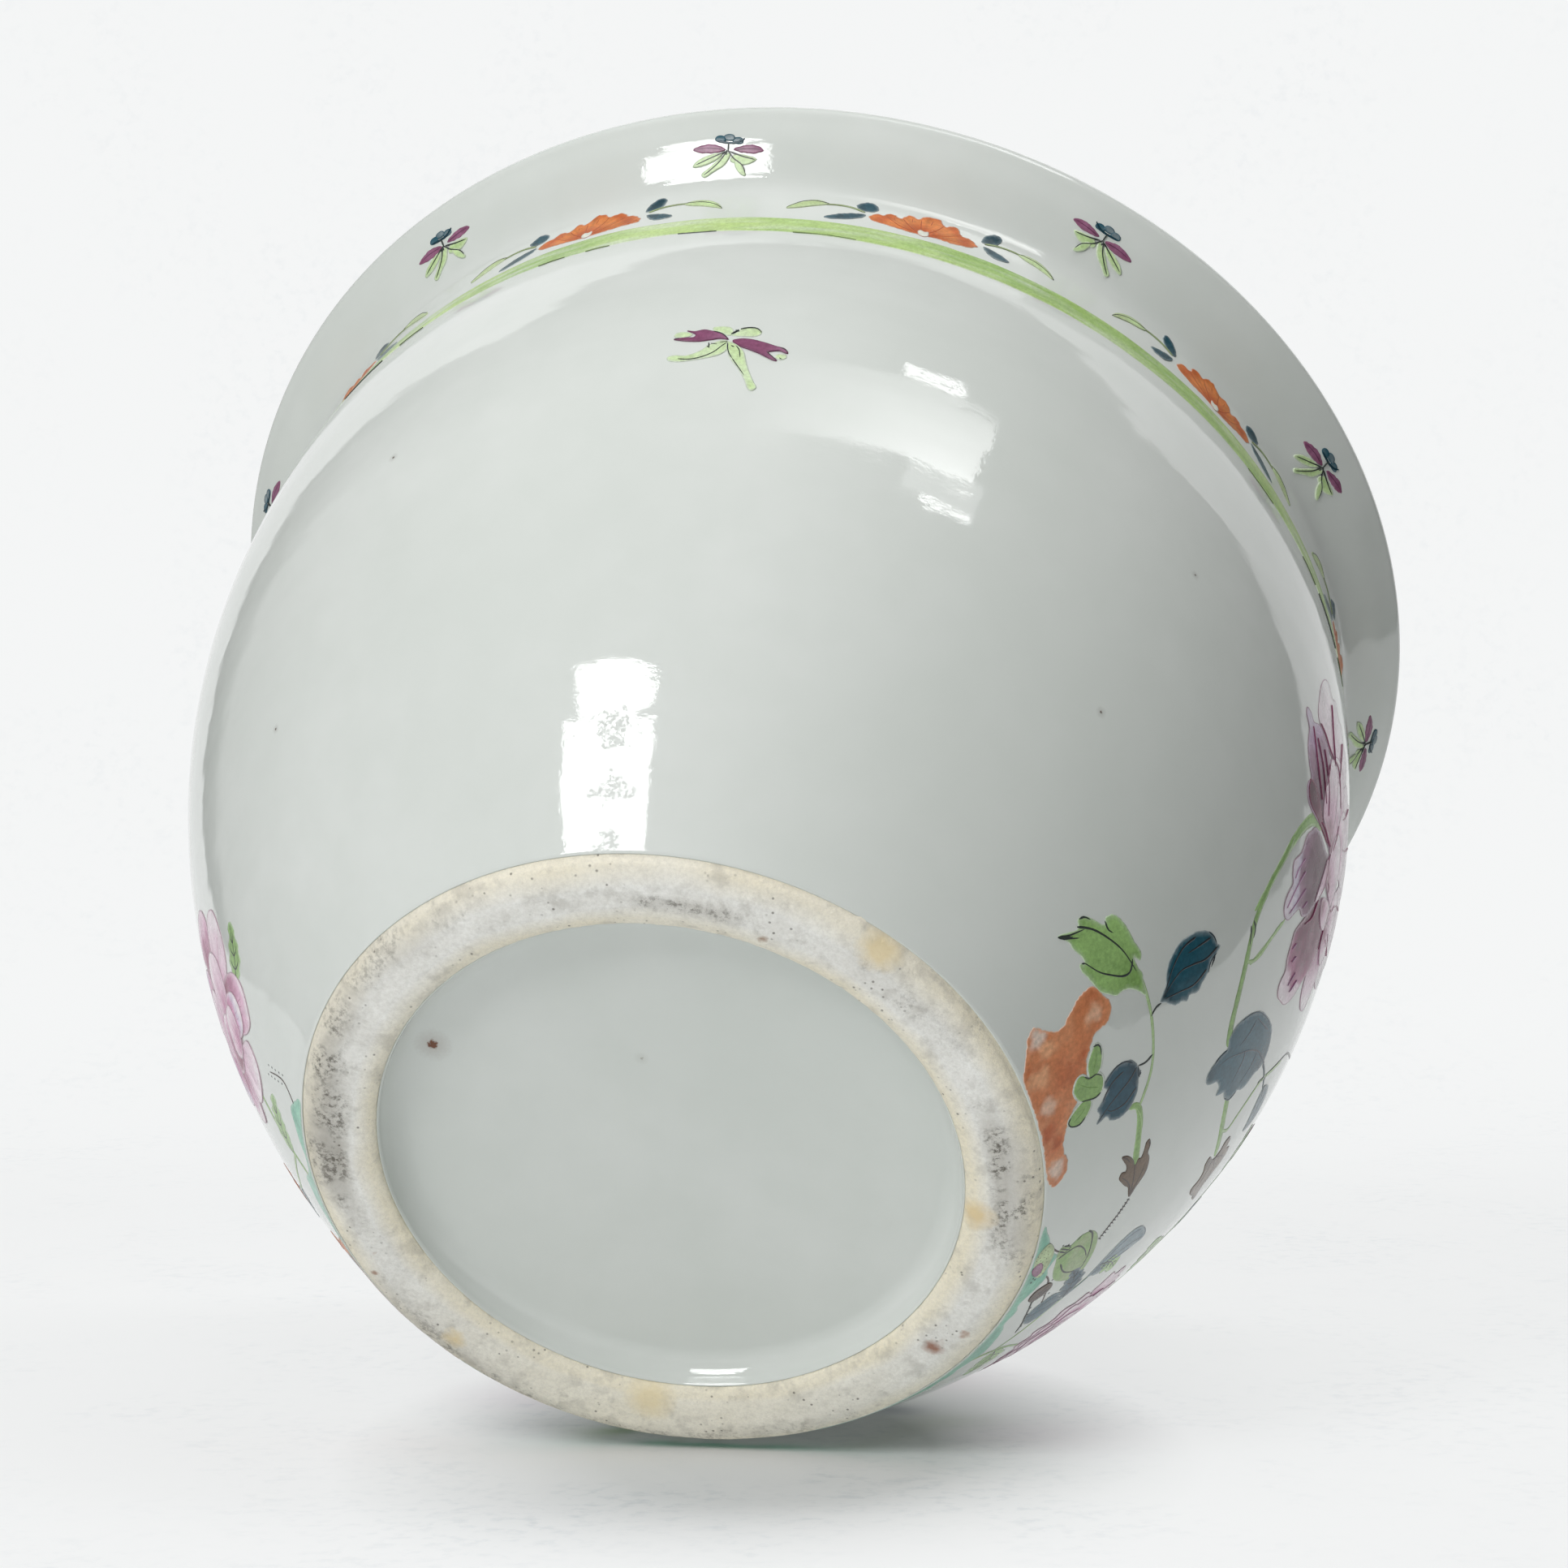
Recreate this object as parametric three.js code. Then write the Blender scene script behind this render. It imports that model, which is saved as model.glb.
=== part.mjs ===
// Porcelain jardiniere: an ovoid thrown body on a trimmed foot ring, with an everted rim.
// Millimetres, +Z up. The origin is the centre of the face that the foot ring stands on.
import * as THREE from 'three';

// Body, measured on the finished glaze.
const bellyRadius = 120;
const bellyHeight = 122;
const footLineRadius = 70.2;
const footLineHeight = 2.9;
const footLineFlare = THREE.MathUtils.degToRad(28.6);
const footHandle = 9.2;
const bellyHandleBelow = 64;
const bellyHandleAbove = 13;
const neckRadius = 118.2;
const neckHeight = 149.4;
const neckTaper = THREE.MathUtils.degToRad(9);
const neckHandle = 7;

// Short waist over the neck, from which the everted rim springs. Its lip is a half-round bead.
const waistRadius = 116.6;
const waistHeight = 165;
const waistHandleLow = 5.2;
const waistHandleHigh = 3.2;
const lipRadius = 128.4;
const lipHeight = 184.2;
const lipThickness = 5.6;
const lipFlare = THREE.MathUtils.degToRad(41);
const rimHandleLow = 7.5;
const rimHandleHigh = 15.3;

// Clay and glaze.
const wallThickness = 6.5;
const glazeThickness = 0.5;
const layerGap = 0.02;
const baseThickness = 9;
const baseRadius = 62;
const floorFilletReach = 4;

// Trimmed foot ring, unglazed where the kiln shelf carried it.
const footInnerRadius = 55.6;
const footInnerBevel = 1.2;
const footOuterRadius = 69.4;
const footOuterBevel = 2;
const footBevelHeight = 1.4;
const recessDepth = 8;
const recessFillet = 3.5;

// Joint between the two thrown sections, closed with a ring of slip.
const seamHeight = 92;
const slipHeight = 1;

// Painted enamel band at the neck.
const bandHeight = 8;
const enamelThickness = 0.3;

// What the surfaces look like.
const biscuit = { color: '#cfc6b4', roughness: 0.9 };
const footClay = { color: '#c9bda6', roughness: 0.95 };
const slipClay = { color: '#d8d4c8', roughness: 0.9 };
const glaze = { color: '#ccd2cc', roughness: 0.12 };
const greenEnamel = { color: '#a4bf5a', roughness: 0.25 };

// Facets round the axis, and steps along each stretch of the profile.
const turnSteps = 48;
const lowerSteps = 5;
const upperSteps = 3;
const shoulderSteps = 3;
const waistSteps = 2;
const rimSteps = 7;
const lipSteps = 3;
const filletSteps = 3;
const halvings = 40;

const at = (radius, height) => new THREE.Vector2(radius, height);

function bodyCurve() {
  const foot = at(footLineRadius, footLineHeight);
  const rise = at(Math.sin(footLineFlare), Math.cos(footLineFlare)).multiplyScalar(footHandle);
  return new THREE.CubicBezierCurve(
    foot,
    foot.clone().add(rise),
    at(bellyRadius, bellyHeight - bellyHandleBelow),
    at(bellyRadius, bellyHeight),
  );
}

function shoulderCurve() {
  const neck = at(neckRadius, neckHeight);
  const drop = at(Math.sin(neckTaper), -Math.cos(neckTaper)).multiplyScalar(neckHandle);
  return new THREE.CubicBezierCurve(
    at(bellyRadius, bellyHeight),
    at(bellyRadius, bellyHeight + bellyHandleAbove),
    neck.clone().add(drop),
    neck,
  );
}

function waistCurve() {
  const neck = at(neckRadius, neckHeight);
  const rise = at(-Math.sin(neckTaper), Math.cos(neckTaper)).multiplyScalar(waistHandleLow);
  return new THREE.CubicBezierCurve(
    neck,
    neck.clone().add(rise),
    at(waistRadius, waistHeight - waistHandleHigh),
    at(waistRadius, waistHeight),
  );
}

// The lip bead's centre, and the point where the rim's outer curve meets the bead.
const lipCentre = at(lipRadius - lipThickness / 2, lipHeight);
const lipNormal = at(Math.cos(lipFlare), -Math.sin(lipFlare));

function rimCurve() {
  const top = lipCentre.clone().addScaledVector(lipNormal, lipThickness / 2);
  const drop = at(Math.sin(lipFlare), Math.cos(lipFlare)).multiplyScalar(-rimHandleHigh);
  return new THREE.CubicBezierCurve(
    at(waistRadius, waistHeight),
    at(waistRadius, waistHeight + rimHandleLow),
    top.clone().add(drop),
    top,
  );
}

// Finds where a rising curve passes a height, and its outward normal there.
function stationAt(curve, height) {
  let low = 0;
  let high = 1;
  for (let step = 0; step < halvings; step += 1) {
    const middle = (low + high) / 2;
    if (curve.getPoint(middle).y < height) low = middle;
    else high = middle;
  }
  const place = (low + high) / 2;
  const tangent = curve.getTangent(place);
  return { point: curve.getPoint(place), normal: at(tangent.y, -tangent.x), wall: wallThickness };
}

// Stations at evenly spaced heights, without the one at the lower end.
function stationsUpTo(curve, from, to, steps) {
  const rise = (to - from) / steps;
  return Array.from({ length: steps }, (_, step) => stationAt(curve, from + rise * (step + 1)));
}

const body = bodyCurve();
const shoulder = shoulderCurve();
const waist = waistCurve();
const rim = rimCurve();
const seamBottom = seamHeight - slipHeight / 2;
const seamTop = seamHeight + slipHeight / 2;
const rimTop = rim.getPoint(1).y;

const footLine = stationAt(body, footLineHeight);
const footJoint = stationAt(body, recessDepth);
const lower = [footJoint, ...stationsUpTo(body, recessDepth, seamBottom, lowerSteps)];
const slip = [lower.at(-1), stationAt(body, seamTop)];
const belly = stationsUpTo(body, seamTop, bellyHeight, upperSteps);
const upper = [slip[1], ...belly, ...stationsUpTo(shoulder, bellyHeight, neckHeight, shoulderSteps)];
const neck = upper.at(-1);
const bandTopHeight = neckHeight + bandHeight;
const bandTop = stationAt(waist, bandTopHeight);
const waistRise = stationsUpTo(waist, bandTopHeight, waistHeight, waistSteps);
const rimStations = [neck, bandTop, ...waistRise, ...stationsUpTo(rim, waistHeight, rimTop, rimSteps)];

// The rim's wall runs from the body's thickness at the neck to the bead's at the lip.
const lipWall = lipThickness - 2 * glazeThickness;
for (const station of rimStations) {
  const share = (station.point.y - neckHeight) / (rimTop - neckHeight);
  station.wall = THREE.MathUtils.lerp(wallThickness, lipWall, share);
}

// The pot's surfaces, from the outside in. A hair of space parts each coat from what it covers.
const enamelFace = (station) => inward(station, -enamelThickness);
const enamelBack = (station) => inward(station, -layerGap);
const outerGlaze = (station) => station.point;
const outerGlazeBack = (station) => inward(station, glazeThickness - layerGap);
const outerClay = (station) => inward(station, glazeThickness);
const innerClay = (station) => inward(station, glazeThickness + station.wall);
const innerGlazeBack = (station) => inward(station, glazeThickness + station.wall + layerGap);
const innerGlaze = (station) => inward(station, 2 * glazeThickness + station.wall);

function inward(station, depth) {
  return station.point.clone().addScaledVector(station.normal, -depth);
}

// A stretch of the lip bead; angles run from the outer side over the top.
function lipArc(radius, from, to, steps) {
  return Array.from({ length: steps + 1 }, (_, step) => {
    const angle = THREE.MathUtils.lerp(from, to, step / steps);
    return at(radius * Math.cos(angle), radius * Math.sin(angle)).add(lipCentre);
  });
}

const lipStart = -lipFlare;
const lipTop = Math.PI / 2;
const lipEnd = Math.PI - lipFlare;
const beadRadius = lipThickness / 2;
const clayBeadRadius = beadRadius - glazeThickness;
const glazeBeadRadius = clayBeadRadius + layerGap;

// The floor inside, flat to its edge and then rising in a fillet into the wall.
const clayFloor = recessDepth + baseThickness;
const innerWall = lower.filter((station) => innerClay(station).y > clayFloor + floorFilletReach);

function floorFillet(surface, floorHeight) {
  const start = innerWall[0];
  const end = surface(start);
  const along = at(-start.normal.y, start.normal.x);
  const corner = end.clone().addScaledVector(along, (floorHeight - end.y) / along.y);
  const fillet = new THREE.QuadraticBezierCurve(at(baseRadius, floorHeight), corner, end);
  return fillet.getPoints(filletSteps).slice(0, -1);
}

// The underside's recess: its glaze fills the corner with a fillet.
function recessGlazeSurface() {
  const radius = footInnerRadius - glazeThickness - recessFillet;
  const height = recessDepth - glazeThickness - recessFillet;
  const fillet = Array.from({ length: filletSteps + 1 }, (_, step) => {
    const angle = (Math.PI / 2) * (1 - step / filletSteps);
    return at(radius + recessFillet * Math.cos(angle), height + recessFillet * Math.sin(angle));
  });
  return [...fillet, at(footInnerRadius - glazeThickness, footBevelHeight)];
}

function lathe(name, profile, finish) {
  const closed = profile[0].x === 0 ? profile : [...profile, profile[0].clone()];
  const geometry = new THREE.LatheGeometry(closed, turnSteps);
  geometry.rotateX(Math.PI / 2);
  const material = new THREE.MeshStandardMaterial({ ...finish, metalness: 0 });
  const mesh = new THREE.Mesh(geometry, material);
  mesh.name = name;
  return mesh;
}

// A wall section between its first and last stations.
function wallSection(name, stations, finish) {
  const outside = stations.map(outerClay);
  const inside = stations.map(innerClay).reverse();
  return lathe(name, [...outside, ...inside], finish);
}

function footRing() {
  return lathe('foot_ring', [
    at(footInnerRadius, recessDepth),
    at(footInnerRadius, footBevelHeight),
    at(footInnerRadius + footInnerBevel, 0),
    at(footOuterRadius - footOuterBevel, 0),
    at(footOuterRadius, footBevelHeight),
    outerClay(footLine),
    outerClay(footJoint),
    at(baseRadius, recessDepth),
  ], footClay);
}

function baseDisc() {
  return lathe('base', [
    at(0, recessDepth),
    at(baseRadius, recessDepth),
    at(baseRadius, clayFloor),
    at(0, clayFloor),
  ], biscuit);
}

function lowerBody() {
  return lathe('lower_body', [
    at(baseRadius, recessDepth),
    ...lower.map(outerClay),
    ...innerWall.map(innerClay).reverse(),
    ...floorFillet(innerClay, clayFloor).reverse(),
  ], biscuit);
}

function rimSection() {
  return lathe('rim', [
    ...rimStations.map(outerClay),
    ...lipArc(clayBeadRadius, lipStart, lipTop, lipSteps).slice(1),
    ...lipArc(clayBeadRadius, lipTop, lipEnd, lipSteps).slice(1, -1),
    ...rimStations.map(innerClay).reverse(),
  ], biscuit);
}

const outerStations = [footLine, ...lower, ...upper, ...rimStations.slice(1)];
const innerStations = [...innerWall, ...upper, ...rimStations.slice(1)];

function exteriorGlaze() {
  return lathe('exterior_glaze', [
    ...outerStations.map(outerGlaze),
    ...lipArc(beadRadius, lipStart, lipTop, lipSteps).slice(1),
    ...lipArc(glazeBeadRadius, lipTop, lipStart, lipSteps).slice(0, -1),
    ...outerStations.map(outerGlazeBack).reverse(),
  ], glaze);
}

function interiorGlaze() {
  const glazeFloor = clayFloor + glazeThickness;
  const glazeUnderside = clayFloor + layerGap;
  return lathe('interior_glaze', [
    at(0, glazeUnderside),
    ...floorFillet(innerGlazeBack, glazeUnderside),
    ...innerStations.map(innerGlazeBack),
    ...lipArc(glazeBeadRadius, lipEnd, lipTop, lipSteps).slice(1),
    ...lipArc(beadRadius, lipTop, lipEnd, lipSteps).slice(0, -1),
    ...innerStations.map(innerGlaze).reverse(),
    ...floorFillet(innerGlaze, glazeFloor).reverse(),
    at(0, glazeFloor),
  ], glaze);
}

function baseGlaze() {
  return lathe('base_glaze', [
    at(0, recessDepth - glazeThickness),
    ...recessGlazeSurface(),
    at(footInnerRadius - layerGap, footBevelHeight),
    at(footInnerRadius - layerGap, recessDepth - layerGap),
    at(0, recessDepth - layerGap),
  ], glaze);
}

function neckBand() {
  const edges = [neck, bandTop];
  return lathe('neck_band', [...edges.map(enamelFace), ...edges.map(enamelBack).reverse()], greenEnamel);
}

const jardiniere = new THREE.Group();
jardiniere.add(
  footRing(),
  baseDisc(),
  lowerBody(),
  wallSection('luting_slip', slip, slipClay),
  wallSection('upper_body', upper, biscuit),
  rimSection(),
  exteriorGlaze(),
  interiorGlaze(),
  baseGlaze(),
  neckBand(),
);

export default jardiniere;
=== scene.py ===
import math
import random

import bpy
import numpy as np
from mathutils import Matrix, Vector, noise
from mathutils.geometry import delaunay_2d_cdt


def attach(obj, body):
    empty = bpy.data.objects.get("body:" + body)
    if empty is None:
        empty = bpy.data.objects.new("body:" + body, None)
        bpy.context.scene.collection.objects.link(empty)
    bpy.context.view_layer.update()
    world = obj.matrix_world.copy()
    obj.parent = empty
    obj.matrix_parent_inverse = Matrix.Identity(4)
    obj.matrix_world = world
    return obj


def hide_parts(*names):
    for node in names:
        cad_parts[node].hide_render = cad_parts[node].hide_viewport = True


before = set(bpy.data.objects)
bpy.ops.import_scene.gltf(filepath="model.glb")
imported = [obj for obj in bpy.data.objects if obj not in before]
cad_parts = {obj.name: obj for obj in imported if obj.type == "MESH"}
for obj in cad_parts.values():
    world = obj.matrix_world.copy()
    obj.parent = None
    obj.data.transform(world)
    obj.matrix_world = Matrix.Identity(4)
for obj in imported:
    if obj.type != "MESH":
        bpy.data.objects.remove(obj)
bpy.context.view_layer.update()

MM = 0.001
DEG = math.pi / 180

# The pot's outline on the finished glaze, in millimetres: radius first, then height.
FOOT_LINE = (70.2, 2.9)
FOOT_FLARE = 28.6 * DEG
FOOT_HANDLE = 9.2
BELLY = (120.0, 122.0)
BELLY_HANDLE_BELOW = 64.0
BELLY_HANDLE_ABOVE = 13.0
NECK = (118.2, 149.4)
NECK_TAPER = 9 * DEG
NECK_HANDLE = 7.0
WAIST = (116.6, 165.0)
WAIST_HANDLE_LOW = 5.2
WAIST_HANDLE_HIGH = 3.2
LIP_CENTRE = (125.6, 184.2)
LIP_RADIUS = 2.8
LIP_FLARE = 41 * DEG
RIM_HANDLE_LOW = 7.5
RIM_HANDLE_HIGH = 15.3
WALL = 7.5
LIP_WALL = 5.6
FLOOR_HEIGHT = 17.5
FLOOR_RADIUS = 62.0
RECESS_RADIUS = 55.1
RECESS_HEIGHT = 7.5
RECESS_ROUND = 5.0
RECESS_DOME = 0.25
FOOT_INNER = 55.6
FOOT_OUTER = 69.4
FOOT_TOP = 8.0
FOOT_ROUND = 5.2
FOOT_FACE = 2.6
SEAM_RUN = 100.0
BAND_WIDTH = 8.1

TURNS = 288
ROW_STEP = 1.2


def srgb(code):
    """A colour written as in a paint program, as Blender's linear values."""
    parts = [int(code[i:i + 2], 16) / 255 for i in (1, 3, 5)]
    return tuple(v / 12.92 if v <= 0.04045 else ((v + 0.055) / 1.055) ** 2.4 for v in parts)


def mix(a, b, share):
    return tuple(x + (y - x) * share for x, y in zip(a, b))


def trace(text):
    """The points of a drawn line, written as x,y pairs."""
    return [tuple(float(v) for v in pair.split(",")) for pair in text.split()]


def bezier(points, steps):
    """Points along a cubic curve, without its first."""
    out = []
    for i in range(1, steps + 1):
        t = i / steps
        w = ((1 - t) ** 3, 3 * t * (1 - t) ** 2, 3 * t * t * (1 - t), t ** 3)
        out.append(tuple(sum(k * p[c] for k, p in zip(w, points)) for c in (0, 1)))
    return out


def arc(centre, radius, start, end, steps):
    """Points along an arc, without its first."""
    angles = [start + (end - start) * i / steps for i in range(1, steps + 1)]
    return [(centre[0] + radius * math.cos(a), centre[1] + radius * math.sin(a)) for a in angles]


def pot_outline():
    """The outline from the foot line over the belly, neck and rim to the lip's top."""
    rise = (FOOT_HANDLE * math.sin(FOOT_FLARE), FOOT_HANDLE * math.cos(FOOT_FLARE))
    rim_top = (LIP_CENTRE[0] + LIP_RADIUS * math.cos(LIP_FLARE),
        LIP_CENTRE[1] - LIP_RADIUS * math.sin(LIP_FLARE))
    points = [FOOT_LINE]
    points += bezier([FOOT_LINE, (FOOT_LINE[0] + rise[0], FOOT_LINE[1] + rise[1]),
            (BELLY[0], BELLY[1] - BELLY_HANDLE_BELOW), BELLY],
        200)
    points += bezier([BELLY, (BELLY[0], BELLY[1] + BELLY_HANDLE_ABOVE),
            (NECK[0] + NECK_HANDLE * math.sin(NECK_TAPER),
                NECK[1] - NECK_HANDLE * math.cos(NECK_TAPER)),
            NECK],
        60)
    neck_at = len(points) - 1
    points += bezier([NECK,
            (NECK[0] - WAIST_HANDLE_LOW * math.sin(NECK_TAPER),
                NECK[1] + WAIST_HANDLE_LOW * math.cos(NECK_TAPER)),
            (WAIST[0], WAIST[1] - WAIST_HANDLE_HIGH), WAIST],
        60)
    points += bezier([WAIST, (WAIST[0], WAIST[1] + RIM_HANDLE_LOW),
            (rim_top[0] - RIM_HANDLE_HIGH * math.sin(LIP_FLARE),
                rim_top[1] - RIM_HANDLE_HIGH * math.cos(LIP_FLARE)),
            rim_top],
        80)
    rim_at = len(points) - 1
    points += arc(LIP_CENTRE, LIP_RADIUS, -LIP_FLARE, math.pi / 2, 24)
    runs = [0.0]
    for a, b in zip(points, points[1:]):
        runs.append(runs[-1] + math.dist(a, b))
    return points, runs, runs[neck_at], runs[rim_at]


OUTLINE, RUNS, NECK_RUN, RIM_RUN = pot_outline()
LIP_RUN = RUNS[-1]
TABLE_STEP = 0.25


def outline_table():
    """Radius, height and outward normal at even steps of run, so that a lookup is quick."""
    table = []
    k = 0
    count = int(LIP_RUN / TABLE_STEP) + 2
    places = []
    for i in range(count):
        run = min(i * TABLE_STEP, LIP_RUN)
        while k < len(RUNS) - 2 and RUNS[k + 1] < run:
            k += 1
        share = (run - RUNS[k]) / (RUNS[k + 1] - RUNS[k])
        places.append(mix(OUTLINE[k], OUTLINE[k + 1], min(max(share, 0), 1)))
    for i, (r, z) in enumerate(places):
        before = places[max(i - 3, 0)]
        after = places[min(i + 3, count - 1)]
        dr, dz = after[0] - before[0], after[1] - before[1]
        length = math.hypot(dr, dz)
        table.append((r, z, dz / length, -dr / length))
    return table


TABLE = outline_table()


def outline_at(run):
    place = min(max(run, 0), LIP_RUN) / TABLE_STEP
    k = min(int(place), len(TABLE) - 2)
    return mix(TABLE[k], TABLE[k + 1], place - k)


def unevenness(turn, run):
    """How far the hand-thrown surface strays from the true outline, in millimetres."""
    rings = 0.012 * math.sin(run * 0.56 + 0.7 * math.sin(turn + 0.4))
    rings += 0.006 * math.sin(run * 1.21 + 1.2 * math.sin(2 * turn))
    oval = 0.07 * math.cos(2 * turn + 0.9) + 0.03 * math.cos(3 * turn)
    seam = 0.02 * math.exp(-((run - SEAM_RUN) / 3.5) ** 2)
    drift = 0.05 * noise.noise(Vector((math.cos(turn) * 2.2, math.sin(turn) * 2.2, run * 0.03)))
    calm = min(max((LIP_RUN - run) / 14, 0), 1)
    return -0.2 + (rings + oval + seam + drift) * (0.35 + 0.65 * calm)


def ease(value, low, high):
    share = min(max((value - low) / (high - low), 0), 1)
    return share * share * (3 - 2 * share)


def rim_swell(run):
    """The glaze stands fuller just under the lip's turn and thins out over it."""
    return 0.34 * ease(run, 178, 190) - 0.44 * ease(run, 190, RIM_RUN)


def skin(turn, run, lift=0.0):
    """A point on the glaze, raised by lift millimetres, in Blender's metres."""
    r, z, out, up = outline_at(run)
    high = lift + unevenness(turn, run) + rim_swell(run)
    r += out * high
    z += up * high
    return Vector((r * math.cos(turn), r * math.sin(turn), z)) * MM


def make_object(name, vertices, faces, material, slot, tones=None):
    mesh = bpy.data.meshes.new(name)
    mesh.from_pydata(vertices, [], faces)
    mesh.polygons.foreach_set("use_smooth", [True] * len(faces))
    if tones:
        layer = mesh.color_attributes.new("tone", "FLOAT_COLOR", "POINT")
        layer.data.foreach_set("color", [v for tone in tones for v in (*tone, 1.0)])
    mesh.materials.append(material)
    mesh.update()
    piece = bpy.data.objects.new(name, mesh)
    bpy.context.scene.collection.objects.link(piece)
    if slot:
        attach(piece, "root")
    return piece


def revolve(name, rings, material, slot, place, pole=None, loop=False):
    """A surface of rings round the axis; pole closes the last ring, loop joins it to the first."""
    vertices = [place(2 * math.pi * i / TURNS, ring) for ring in rings for i in range(TURNS)]
    faces = []
    pairs = list(zip(range(len(rings)), range(1, len(rings))))
    if loop:
        pairs.append((len(rings) - 1, 0))
    for low, high in pairs:
        for i in range(TURNS):
            j = (i + 1) % TURNS
            faces.append((low * TURNS + i, low * TURNS + j, high * TURNS + j, high * TURNS + i))
    if pole is not None:
        last = (len(rings) - 1) * TURNS
        vertices.append(pole)
        faces += [(last + i, last + (i + 1) % TURNS, len(vertices) - 1) for i in range(TURNS)]
    return make_object(name, vertices, faces, material, slot)


# Materials

class Nodes:
    """Short calls for building one material's node tree."""

    def __init__(self, name):
        self.material = bpy.data.materials.new(name)
        self.material.use_nodes = True
        self.tree = self.material.node_tree
        self.shader = self.tree.nodes["Principled BSDF"]
        self.coords = self.add("ShaderNodeTexCoord").outputs["Object"]

    def add(self, kind, **inputs):
        node = self.tree.nodes.new(kind)
        for key, value in inputs.items():
            self.feed(node, key, value)
        return node

    def feed(self, node, key, value):
        by_number = key[0] == "i" and key[1:].isdigit()
        socket = node.inputs[int(key[1:]) if by_number else key.replace("_", " ")]
        if isinstance(value, bpy.types.NodeSocket):
            self.tree.links.new(value, socket)
        else:
            socket.default_value = value

    def noise(self, scale, detail=2.0, rough=0.5, vector=None):
        node = self.add("ShaderNodeTexNoise", Scale=scale, Detail=detail, Roughness=rough)
        self.feed(node, "Vector", vector or self.coords)
        return node.outputs["Fac"]

    def ramp(self, value, low, high, first=0.0, last=1.0):
        node = self.add("ShaderNodeMapRange", Value=value)
        for key, number in (("From Min", low), ("From Max", high), ("To Min", first), ("To Max", last)):
            node.inputs[key].default_value = number
        return node.outputs["Result"]

    def math(self, kind, a, b=0.0):
        node = self.add("ShaderNodeMath", i0=a, i1=b)
        node.operation = kind
        return node.outputs[0]

    def blend(self, share, a, b, kind="MIX"):
        node = self.tree.nodes.new("ShaderNodeMix")
        node.data_type = "RGBA"
        node.blend_type = kind
        self.feed(node, "Factor", share)
        for socket, value in ((node.inputs[6], a), (node.inputs[7], b)):
            if isinstance(value, bpy.types.NodeSocket):
                self.tree.links.new(value, socket)
            else:
                socket.default_value = (*value, 1.0)
        return node.outputs[2]

    def bump(self, height, strength, distance, normal=None):
        node = self.add("ShaderNodeBump", Height=height)
        node.inputs["Strength"].default_value = strength
        node.inputs["Distance"].default_value = distance
        if normal is not None:
            self.feed(node, "Normal", normal)
        return node.outputs["Normal"]

    def set(self, **inputs):
        for key, value in inputs.items():
            self.feed(self.shader, key, value)


GLAZE = srgb("#d8dcd8")
GLAZE_SHADE = srgb("#d1d6d1")
BISCUIT = srgb("#cfc6b4")
BISCUIT_SHADE = srgb("#bfb49f")
SLIP = srgb("#d8d4c8")
SLIP_SHADE = srgb("#cbc6b7")
GLAZE_IOR = 1.5
ENAMEL_SPECULAR = 0.3


def glaze_material(name, light, shade, spots=(), scuffs=()):
    """Glaze with soft clouds; spots are iron specks (place, radius, tone), scuffs are worn places."""
    n = Nodes(name)
    cloud = n.ramp(n.noise(14.0, 3.0), 0.35, 0.65)
    mottle = n.ramp(n.noise(90.0, 2.0), 0.3, 0.7, 0.0, 0.35)
    tone = n.blend(cloud, light, shade)
    tone = n.blend(mottle, tone, mix(light, shade, 1.6))
    for place, radius, colour in spots:
        away = n.add("ShaderNodeVectorMath", i0=n.coords, i1=tuple(place))
        away.operation = "DISTANCE"
        ragged = n.math("ADD", away.outputs["Value"],
            n.ramp(n.noise(1800.0), 0.3, 0.7, -radius * 0.0003, radius * 0.0003))
        halo = n.ramp(ragged, radius * 3.2 * MM, radius * 0.8 * MM, 0.0, 0.22)
        core = n.ramp(ragged, radius * 1.05 * MM, radius * 0.5 * MM)
        tone = n.blend(n.math("MAXIMUM", halo, core), tone, srgb(colour))
    wave = n.bump(n.noise(150.0, 1.0), 0.10, 0.0005)
    drawn = n.add("ShaderNodeVectorMath", i0=n.coords, i1=(1.0, 1.0, 2.4))
    drawn.operation = "MULTIPLY"
    peel = n.bump(n.noise(480.0, 3.0, 0.6, drawn.outputs[0]), 0.35, 0.00003, wave)
    peel = n.bump(n.noise(1500.0, 2.0), 0.35, 0.000015, peel)
    gloss = n.ramp(n.noise(60.0), 0.3, 0.7, 0.02, 0.045)
    for place, radius in scuffs:
        away = n.add("ShaderNodeVectorMath", i0=n.coords, i1=tuple(place))
        away.operation = "DISTANCE"
        frayed = n.ramp(n.noise(430.0, 3.0), 0.35, 0.65, -radius * 0.5 * MM, radius * 0.5 * MM)
        frayed = n.math("ADD", away.outputs["Value"], frayed)
        worn = n.math("MULTIPLY", n.ramp(frayed, radius * MM, radius * 0.5 * MM),
            n.ramp(n.noise(1300.0, 5.0, 0.75), 0.46, 0.53))
        gloss = n.math("ADD", gloss, n.math("MULTIPLY", worn, 0.85))
    n.set(Base_Color=tone, Roughness=gloss, Normal=peel)
    n.shader.inputs["IOR"].default_value = GLAZE_IOR
    return n.material


def biscuit_material(name, tone, shade):
    n = Nodes(name)
    cloud = n.ramp(n.noise(40.0, 4.0), 0.35, 0.65)
    n.set(Base_Color=n.blend(cloud, tone, shade),
        Roughness=n.ramp(n.noise(200.0), 0.3, 0.7, 0.75, 0.92),
        Normal=n.bump(n.noise(900.0, 4.0), 0.4, 0.0002))
    return n.material


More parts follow.
